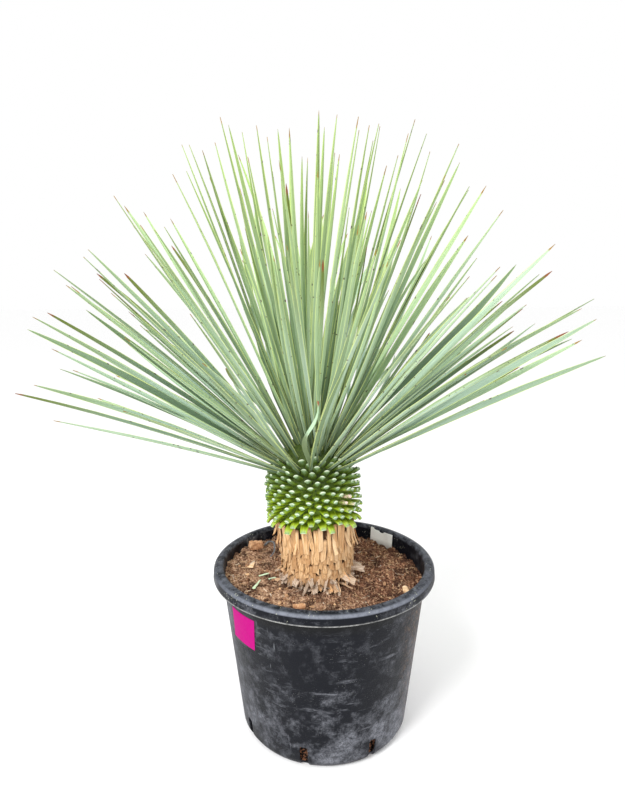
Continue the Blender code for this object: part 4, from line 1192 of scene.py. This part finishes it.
def on_screen(place):
    """Where a place on the plant is seen in the front view: across and up."""
    ray = place - viewpoint_from_plant
    dip = math.radians(LOOK_DOWN)
    away = ray.y * math.cos(dip) - ray.z * math.sin(dip)
    return ray.x / away, (ray.y * math.sin(dip) + ray.z * math.cos(dip)) / away


def leaf_length(rise):
    """Full length of a leaf of this slope: the leaves near the top are the longest."""
    return LOW_LEAF_LENGTH + (TOP_LEAF_LENGTH - LOW_LEAF_LENGTH) * math.sin(rise) ** 1.5


def gap_share(angle, rise, length):
    """The share that is missing where this leaf's tip would be seen: 0 outside the gaps."""
    run = Vector((math.cos(angle) * math.cos(rise), math.sin(angle) * math.cos(rise), math.sin(rise)))
    tip_across, tip_up = on_screen(leaf_root(angle, rise) + length * run)
    across, up = on_screen(crown)
    fan = math.degrees(math.atan2(tip_up - up, tip_across - across))
    return max((share for low, high, share in FAN_GAPS if low < fan < high), default=0)


def spare(number, angle, rise):
    """Whether a low leaf at the sides is one too many: two of five on the right, three on the left."""
    to_the_side = math.cos(angle)
    if abs(to_the_side) <= SPARE_SIDE or rise >= SPARE_RISE:
        return False
    return number % 5 in ((0, 2, 3) if to_the_side < 0 else (0, 2))


leaves = []
gap_draw = random.Random(GAP_SEED)
draw = random.Random(FILL_SEED)
for i in range(FILL_LEAVES):
    share = (i + 0.5) / FILL_LEAVES
    angle = FIRST_LEAF + i * GOLDEN_ANGLE + draw.uniform(-LEAF_JITTER, LEAF_JITTER)
    lowest = LOWEST_LEAF + HIGHER_IN_FRONT * max(0, -math.sin(angle)) ** 2
    lowest += HIGHER_ON_THE_RIGHT * math.cos(angle)
    level = math.sin(lowest) + (1 - math.sin(lowest)) * share**LEAF_SPREAD
    rise = math.asin(level) + math.radians(draw.uniform(-1, 3) * (1 - share))
    length = leaf_length(rise) * draw.uniform(0.8, 1)
    droop = math.radians(draw.uniform(-1, 4)) * math.cos(rise)
    roll = draw.gauss(0, LEAF_ROLL)
    width = LEAF_WIDTH * draw.uniform(0.85, 1.05)
    gap = gap_share(angle, rise, length)
    kept = gap_draw.random() >= GAP_LEAF_LOSS * gap
    behind = math.sin(angle) > 0
    if kept and (behind or i % 2 == 0) and not spare(i, angle, rise):
        leaves.append((angle, rise, length, droop, roll, width * (1 - GAP_NARROWING * gap)))
draw = random.Random(OUTLINE_SEED)
for fan, reach in OUTLINE_LEAVES:
    fan_angle = math.radians(fan)
    tip = crown + reach * Vector((math.cos(fan_angle), 0, math.sin(fan_angle)))
    tip = tip.lerp(viewpoint_from_plant, draw.uniform(*NEARER))
    angle = math.atan2(tip.y, tip.x)
    run = tip - leaf_root(angle, math.atan2(tip.z - crown.z, math.hypot(tip.x, tip.y)))
    rise = math.atan2(run.z, math.hypot(run.x, run.y))
    droop = math.radians(draw.uniform(0, 4)) * math.cos(rise)
    roll = draw.gauss(0, LEAF_ROLL)
    width = LEAF_WIDTH * draw.uniform(0.9, 1.08)
    leaves.append((angle, rise, run.length, droop, roll, width))

draw = random.Random(THIN_SEED)
for _ in range(THIN_LEAVES):
    angle = -math.pi / 2 + draw.uniform(-THIN_HALF_TURN, THIN_HALF_TURN)
    rise = math.asin(draw.uniform(math.sin(LOWEST_THIN_LEAF), 0.99))
    length = leaf_length(rise) * draw.uniform(0.66, 0.98)
    droop = math.radians(draw.uniform(-3, 5)) * math.cos(rise)
    roll = draw.gauss(0, 2 * LEAF_ROLL)
    width = LEAF_WIDTH * draw.uniform(0.6, 0.85)
    if gap_draw.random() >= gap_share(angle, rise, length):
        leaves.append((angle, rise, length, droop, roll, width))

leaf_model, leaf_step, leaf_shape = prism_model("leaf", LEAF_SECTION, len(LEAF_SHARES) - 1)
leaf_map = leaf_model.data.uv_layers["run"].data
for loop in leaf_model.data.loops:
    leaf_map[loop.index].uv.y = LEAF_SHARES[leaf_step[loop.vertex_index]]
under_side = np.isin(leaf_shape[:, 1], UNDERSIDE_HEIGHTS).astype(float)
draw = random.Random(BLADE_SEED)
tip_and_root_draw = random.Random(TIP_AND_ROOT_SEED)
middles = (LEAF_SHARES[1:] + LEAF_SHARES[:-1]) / 2
blades = []
for angle, rise, length, droop, roll, width in leaves:
    out, side = out_and_side(angle)
    slopes = rise + droop / 2 - droop * middles
    pieces = np.outer(np.cos(slopes), out) + np.outer(np.sin(slopes), upright)
    pieces *= (np.diff(LEAF_SHARES) * (length - TIP_CLEARANCE))[:, None]
    centres = np.array(leaf_root(angle, rise)) + np.vstack([np.zeros(3), np.cumsum(pieces, axis=0)])
    in_front = max(0, -math.sin(angle))
    sway = draw.gauss(0, LEAF_SWAY) * np.sin(LEAF_SHARES * math.pi)
    sway += draw.gauss(0, 0.4 * LEAF_SWAY) * np.sin(LEAF_SHARES * 2 * math.pi)
    centres += np.outer(sway * (1 - 0.8 * in_front), side)
    arch = abs(draw.gauss(0, LEAF_ARCH)) * math.cos(rise) * (1 - in_front) * np.sin(LEAF_SHARES * math.pi)
    centres += np.outer(arch, upright)
    low = math.cos(rise) ** 1.2
    centres += np.outer((1 - LEAF_SHARES) * low, BASE_OUT * out - BASE_DOWN * upright)
    centres += np.outer(1 - LEAF_SHARES, tip_and_root_draw.uniform(-ROOT_STRAY, ROOT_STRAY) * side)
    ups = np.cross(side, directions(centres))
    ups *= np.sign(np.median(ups @ (upright - 0.2 * out)))
    faced = FACE_TURN * math.cos(angle) * np.minimum(1, LEAF_SHARES / 0.3)
    rolls = roll + faced + draw.gauss(0, LEAF_TWIST) * (LEAF_SHARES - 0.35)
    rounds, ups = rolled(side, ups, rolls[:, None])
    width *= BLADE_NARROWING * (1 - FRONT_NARROWING * in_front)
    burnt = tip_and_root_draw.random() < (BURNT_SHORT_SHARE if length < SHORT_LEAF else BURNT_LONG_SHARE)
    widths = width * LEAF_WIDE * (BURNT_WIDER if burnt else 1)
    places = swept((leaf_step, leaf_shape), centres, rounds, ups, widths, LEAF_THICK * LEAF_HIGH)
    tones = {
        "tone": draw.random(),
        "young_and_backlit": min(1, max(0, (math.degrees(rise) - 42) / 34)),
        "front": in_front,
        "low_side_shade": low * max(-math.cos(angle), 0.5 * math.cos(angle)),
        "burnt": float(burnt),
        "under": under_side,
    }
    blades.append((leaned(places), tones))
leaf_head = copies_as_one("leaf_rosette", leaf_model, blades)

waxy = Finish("glaucous_leaf", 0.48, specular=0.4)
leaf_across, leaf_along, _ = waxy.along_and_across()
leaf_tone = waxy.attribute("tone")
leaf_young_and_backlit = waxy.attribute("young_and_backlit")
leaf_lines = waxy.fibres(26, 3, 120, roughness=0.6)
old_leaf = waxy.ramp(
    leaf_lines, (0.3, srgb(128, 156, 136)), (0.52, srgb(180, 207, 188)), (0.76, srgb(222, 238, 226))
)
young_backlit_leaf = waxy.ramp(
    leaf_lines, (0.3, srgb(154, 194, 108)), (0.52, srgb(200, 229, 152)), (0.76, srgb(228, 246, 188))
)
# Steep leaves are young and yellower, and are also painted brighter and yellower as light shining through
# them
waxy.colour(old_leaf)
waxy.coat(waxy.both(leaf_young_and_backlit, 0.7), young_backlit_leaf)
# Painted light on the leaves that face the front
waxy.coat(waxy.both(waxy.attribute("front"), 0.30), srgb(210, 226, 198))
# Painted shade on the low leaves at the sides, most on the left
waxy.coat(waxy.both(waxy.attribute("low_side_shade"), 0.27), srgb(112, 142, 118))

# Some leaves are darker and some yellower, and every underside and root is darkened with painted shade.
waxy.coat(waxy.ramp(leaf_tone, (0.0, 0.90), (0.44, 0)), srgb(84, 110, 78))
waxy.coat(waxy.ramp(leaf_tone, (0.72, 0), (0.92, 0.30)), srgb(164, 194, 110))
# Painted shade on the undersides
waxy.coat(waxy.both(waxy.attribute("under"), 0.48), srgb(112, 138, 92))
yellowing = waxy.both(waxy.added(waxy.both(leaf_young_and_backlit, 0.45), 0.12), waxy.rise(leaf_along, 0.60, 0.98))
waxy.coat(yellowing, srgb(172, 202, 88))
olive_leaf = waxy.ramp(leaf_tone, (0.30, 0), (0.40, 0.6), (0.62, 0.6), (0.70, 0))
waxy.coat(waxy.both(olive_leaf, waxy.rise(leaf_along, 0.58, 0.82)), srgb(108, 130, 62))
# Painted shade at the root of each leaf, in the crowded crown
waxy.coat(waxy.ramp(leaf_along, (0.03, 0.85), (0.29, 0)), srgb(90, 108, 76))

# The thin yellow margin, dark specks near it, orange scars and the brown tip
off_middle = waxy.off_middle(leaf_across)
waxy.coat(waxy.ramp(off_middle, (0.41, 0), (0.455, 0.8)), srgb(214, 226, 136))
leaf_specks = waxy.ramp(waxy.grain(130, detail=2), (0.665, 0), (0.685, 0.85))
waxy.coat(waxy.both(leaf_specks, waxy.ramp(off_middle, (0.24, 0), (0.36, 1))), srgb(74, 50, 40))
waxy.coat(waxy.ramp(waxy.grain(44, roughness=0.7), (0.750, 0), (0.770, 0.85)), srgb(196, 112, 34))
brown_from = waxy.added(leaf_along, waxy.both(waxy.added(leaf_tone, -0.5), 0.03))
waxy.coat(waxy.rise(brown_from, 0.982, 0.990), srgb(156, 118, 36))
burnt_leaf = waxy.attribute("burnt")
waxy.coat(waxy.both(burnt_leaf, waxy.ramp(leaf_along, (0.66, 0), (0.93, 0.9))), srgb(98, 112, 30))
waxy.coat(waxy.both(burnt_leaf, waxy.rise(brown_from, 0.958, 0.974)), srgb(136, 76, 34))
waxy.bump(leaf_lines, 0.0005)
finish_piece(leaf_head, waxy, "leaf_head", smooth=50)

# Curled leaf
# One short pale leaf in front of the crown has dried and curled over to the right as it grew.
# Its route was set against the photograph, and its tip is red-brown.
CURLED_ROUTE = (
    (-0.001, -0.060, 0.2176), (-0.002, -0.105, 0.2497), (-0.0042, -0.150, 0.280), (-0.0054, -0.178, 0.3026),
    (0.0027, -0.188, 0.3167), (0.012, -0.192, 0.3305), (0.0175, -0.190, 0.346), (0.0178, -0.186, 0.3612),
)
CURLED_WIDTH = 0.0088
CURLED_THICK = 0.0012
CURLED_STEPS = 14

curled_model, curled_step, curled_shape = prism_model("curled_leaf", LEAF_SECTION, CURLED_STEPS)
curled_share = np.linspace(0, 1, CURLED_STEPS + 1)
route_share = np.linspace(0, 1, len(CURLED_ROUTE))
route_curves = [np.polyfit(route_share, [point[axis] for point in CURLED_ROUTE], 5) for axis in range(3)]
curled_line = np.column_stack([np.polyval(curve, curled_share) for curve in route_curves])
curled_runs = directions(curled_line)
curled_sides = np.cross(curled_runs, (0, -1, 0))
curled_sides /= np.linalg.norm(curled_sides, axis=1)[:, None]
curled_twist = (-0.5 + 1.6 * curled_share)[:, None]
curled_rounds, curled_ups = rolled(curled_sides, np.cross(curled_sides, curled_runs), curled_twist)
curled_widths = CURLED_WIDTH * np.interp(curled_share, (0, 0.4, 0.52, 0.7, 1), (0.7, 0.95, 0.50, 0.68, 0.06))
curled_thicks = np.full(CURLED_STEPS + 1, CURLED_THICK)
curled_places = swept(
    (curled_step, curled_shape), curled_line, curled_rounds, curled_ups, curled_widths, curled_thicks
)
curled_leaf = copies_as_one("curled_pale_leaf", curled_model, [(leaned(curled_places), {"tone": 0.5})])
pale = Finish("pale_dry_leaf", 0.55, specular=0.35)
pale_along = pale.along_and_across()[1]
pale.colour(pale.ramp(pale.fibres(20, 2, 14), (0.3, srgb(146, 178, 142)), (0.7, srgb(190, 212, 182))))
pale.coat(pale.rise(pale_along, 0.56, 0.48), srgb(116, 134, 96))
pale.coat(pale.rise(pale_along, 0.92, 0.96), srgb(168, 84, 56))
finish_piece(curled_leaf, pale, "leaf_head", smooth=50)

# Crown
# The low mound that every leaf grows from, hidden between the leaf bases.  It is one growth with
# them and mossy green like the sheaths around it, darkened by the same painted shade as their tops.
CROWN_RADIUS = 0.060
CROWN_HEIGHT = 0.057

crown_rings = []
for bend in np.radians((0, 10, 20, 30, 40, 50, 60, 70, 80, 86)):
    crown_height = OLD_HEIGHT + GREEN_HEIGHT + CROWN_HEIGHT * math.sin(bend)
    crown_rings.append((CROWN_RADIUS * math.cos(bend), crown_height))
crown_mound = turned_body("crown_mound", crown_rings, 60)
crown_mound.data.transform(plant_matrix)
finish_piece(crown_mound, moss, "leaf_head")

# Plant label
# A pale grey plastic plate stuck upright in the soil against the back of the pot.  Its top edge is
# scooped between the corners, with a small notch in the scoop.
LABEL_WIDTH = 0.054
LABEL_HEIGHT = 0.058
LABEL_THICK = 0.0012
LABEL_EDGE = 0.0002
LABEL_DEPTH = 0.026
LABEL_ANGLE = math.radians(48)
LABEL_DISTANCE = 0.1720
LABEL_LEAN = math.radians(5)
LABEL_SCOOP = 0.0035
SCOOP_START = 0.020
SCOOP_RUN = 0.006
LABEL_NOTCH = 0.006
SOIL_AT_LABEL = 0.274
ARC_POINTS = 14

label_half = LABEL_WIDTH / 2
scooped = LABEL_HEIGHT - LABEL_SCOOP
label_outline = [(-label_half, 0), (label_half, 0), (label_half, scooped)]
for k in range(ARC_POINTS + 1):
    turn = math.pi * k / ARC_POINTS
    label_outline.append((LABEL_NOTCH * math.cos(turn), scooped - LABEL_NOTCH / 2 * math.sin(turn)))
for k in range(ARC_POINTS):
    turn = math.pi / 2 * k / (ARC_POINTS - 1)
    scoop_end = SCOOP_RUN - SCOOP_START - SCOOP_RUN * math.sin(turn)
    label_outline.append((scoop_end, LABEL_HEIGHT - LABEL_SCOOP * math.cos(turn)))
label_outline.append((-label_half, LABEL_HEIGHT))
label_curve = bpy.data.curves.new("plant_label", "CURVE")
label_curve.dimensions = "2D"
label_curve.fill_mode = "BOTH"
label_curve.extrude = LABEL_THICK / 2 - LABEL_EDGE
label_curve.bevel_depth = LABEL_EDGE
label_curve.bevel_resolution = 1
label_curve.offset = -LABEL_EDGE
label_spline = label_curve.splines.new("POLY")
label_spline.points.add(len(label_outline) - 1)
for point, (across, up) in zip(label_spline.points, label_outline):
    point.co = (across, up, 0, 1)
label_spline.use_cyclic_u = True
label = bpy.data.objects.new("grey_plant_label", label_curve)
bpy.context.scene.collection.objects.link(label)
bpy.ops.object.select_all(action="DESELECT")
label.select_set(True)
bpy.context.view_layer.objects.active = label
bpy.ops.object.convert(target="MESH")
bpy.ops.object.mode_set(mode="EDIT")
bpy.ops.mesh.select_all(action="SELECT")
bpy.ops.mesh.remove_doubles(threshold=0.00002)
bpy.ops.object.mode_set(mode="OBJECT")
label_foot = (
    LABEL_DISTANCE * math.cos(LABEL_ANGLE),
    LABEL_DISTANCE * math.sin(LABEL_ANGLE),
    SOIL_AT_LABEL - LABEL_DEPTH,
)
label.data.transform(
    Matrix.Translation(label_foot)
    @ Matrix.Rotation(LABEL_ANGLE, 4, "Z")
    @ Matrix.Rotation(LABEL_LEAN, 4, "Y")
    @ Matrix.Rotation(math.radians(-90), 4, "Z")
    @ Matrix.Rotation(math.radians(90), 4, "X")
)
grey = Finish("grey_label_plastic", 0.45, specular=0.45)
label_grain = grey.grain(500)
label_stain = grey.rise(grey.split(grey.place)[2], SOIL_AT_LABEL + 0.012, SOIL_AT_LABEL)
grey.colour(grey.ramp(label_grain, (0.3, srgb(242, 244, 242)), (0.7, srgb(250, 252, 250))))
grey.coat(grey.both(label_stain, 0.6), srgb(128, 112, 98))
grey.bump(label_grain, 0.0002)
finish_piece(label, grey, "plant_label")

# Loose bits on the soil
# Bark chips, a bark block, trimmed leaf bits and a dry grey root that lie where they fell.  Each is
# a worn lump or sliver with rounded, uneven faces.

# Each bit's node, size, turn in degrees, how narrow its end is, how uneven it is, and its slot
LOOSE_BITS = (
    ("bark_block", (0.026, 0.018, 0.014), 20, 0.85, 0.0028, "bark"),
    ("bark_chip_left", (0.022, 0.012, 0.002), 75, 0.15, 0.0008, "bark"),
    ("bark_chip_right", (0.018, 0.010, 0.004), 95, 0.8, 0.0014, "bark"),
    ("bark_chip_front", (0.020, 0.014, 0.005), 10, 0.6, 0.0018, "bark"),
    ("leaf_clipping_1", (0.020, 0.0045, 0.0012), 34, 0.8, 0.0005, "cut_leaf_base"),
    ("leaf_clipping_2", (0.014, 0.0040, 0.0012), 27, 0.7, 0.0005, "cut_leaf_base"),
    ("leaf_clipping_3", (0.034, 0.0060, 0.0014), 74, 0.3, 0.0005, "cut_leaf_base"),
)
PALE_CHIPS = ("bark_chip_left", "bark_chip_right")
BIT_CUTS = 7
ROUND_SIZE = 0.62
ROUNDED_SHARE = 0.28
BUMPS_A_METRE = 260
BUMP_SHIFT = 900
BIT_SEED = 5
bark = Finish("bark", 0.9, specular=0.2)
bark_grain = bark.grain(180, detail=6, roughness=0.7, place=bark.stretched((1, 0.35, 1), (0, 0, 25)))
bark.colour(
    bark.ramp(bark_grain, (0.3, srgb(140, 94, 66)), (0.5, srgb(206, 156, 116)), (0.72, srgb(238, 200, 162)))
)
bark.bump(bark_grain, 0.0025)
pale_bark = Finish("pale_bark", 0.85, specular=0.25)
pale_grain = pale_bark.grain(300, detail=4)
pale_bark.colour(pale_bark.ramp(pale_grain, (0.35, srgb(230, 184, 136)), (0.65, srgb(254, 230, 194))))
pale_bark.bump(pale_bark.grain(400), 0.0010)
clipping = Finish("leaf_clipping", 0.55, specular=0.35)
clipping_grain = clipping.grain(420, detail=3)
clipping.colour(clipping.ramp(clipping_grain, (0.3, srgb(182, 214, 164)), (0.7, srgb(232, 246, 220))))
clipping.bump(clipping_grain, 0.0006)
noise.seed_set(BIT_SEED)
for bit_name, (long, wide, high), turn, taper, uneven, bit_slot in LOOSE_BITS:
    low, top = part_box(bit_name)
    bpy.ops.object.select_all(action="DESELECT")
    bpy.ops.mesh.primitive_cube_add(size=1)
    bit = bpy.context.object
    bit.name = bit_name + "_worn"
    bpy.ops.object.mode_set(mode="EDIT")
    bpy.ops.mesh.select_all(action="SELECT")
    bpy.ops.mesh.subdivide(number_cuts=BIT_CUTS)
    bpy.ops.object.mode_set(mode="OBJECT")
    for corner in bit.data.vertices:
        rounded = corner.co.lerp(corner.co.normalized() * ROUND_SIZE, ROUNDED_SHARE)
        narrow = 1 - (1 - taper) * (0.5 + rounded.x)
        corner.co = Vector((rounded.x * long, rounded.y * wide * narrow, rounded.z * high))
        place = corner.co * BUMPS_A_METRE + Vector((long, wide, high)) * BUMP_SHIFT
        small_bump, large_bump = noise.noise_vector(place), noise.noise_vector(place * 0.35)
        corner.co += uneven * (0.6 * small_bump + 0.7 * large_bump)
    bit.data.transform(Matrix.Translation((low + top) / 2) @ Matrix.Rotation(math.radians(turn), 4, "Z"))
    bit_finish = pale_bark if bit_name in PALE_CHIPS else bark if bit_slot == "bark" else clipping
    finish_piece(bit, bit_finish, bit_name, smooth=60)

ROOT_BOW = (0.011, 0.038)
ROOT_THICK = 0.0050
ROOT_STEPS = 18
root_low, root_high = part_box("dead_root")
root_middle = (root_low + root_high) / 2
root_model, root_step, root_shape = prism_model("dry_root", round_section(8), ROOT_STEPS)
root_share = np.linspace(0, 1, ROOT_STEPS + 1)
root_turn = np.radians(150 - 210 * root_share)
root_line = np.column_stack([ROOT_BOW[0] * np.cos(root_turn), ROOT_BOW[1] * np.sin(root_turn), 0 * root_turn])
root_line += 0.0009 * np.array([noise.noise_vector(Vector((7 * share, 3, 1))) for share in root_share])
root_line += np.array(root_middle) - (root_line.max(axis=0) + root_line.min(axis=0)) / 2
root_runs = directions(root_line)
root_sides = np.cross(root_runs, (0, 0, 1))
root_ups = np.cross(root_sides, root_runs)
root_thick = ROOT_THICK * (1 - 0.5 * root_share) * (1 + 0.16 * np.sin(root_share * 46))
root_places = swept((root_step, root_shape), root_line, root_sides, root_ups, root_thick, root_thick * 0.8)
dry_root = copies_as_one("dry_grey_root", root_model, [(root_places, {"tone": 0.5})])
root_finish = Finish("dry_root", 0.9, specular=0.2)
root_grain = root_finish.grain(420, detail=5, roughness=0.7)
root_finish.colour(root_finish.ramp(root_grain, (0.3, srgb(70, 70, 72)), (0.7, srgb(150, 152, 156))))
root_finish.bump(root_grain, 0.0012)
finish_piece(dry_root, root_finish, "dead_root", smooth=60)
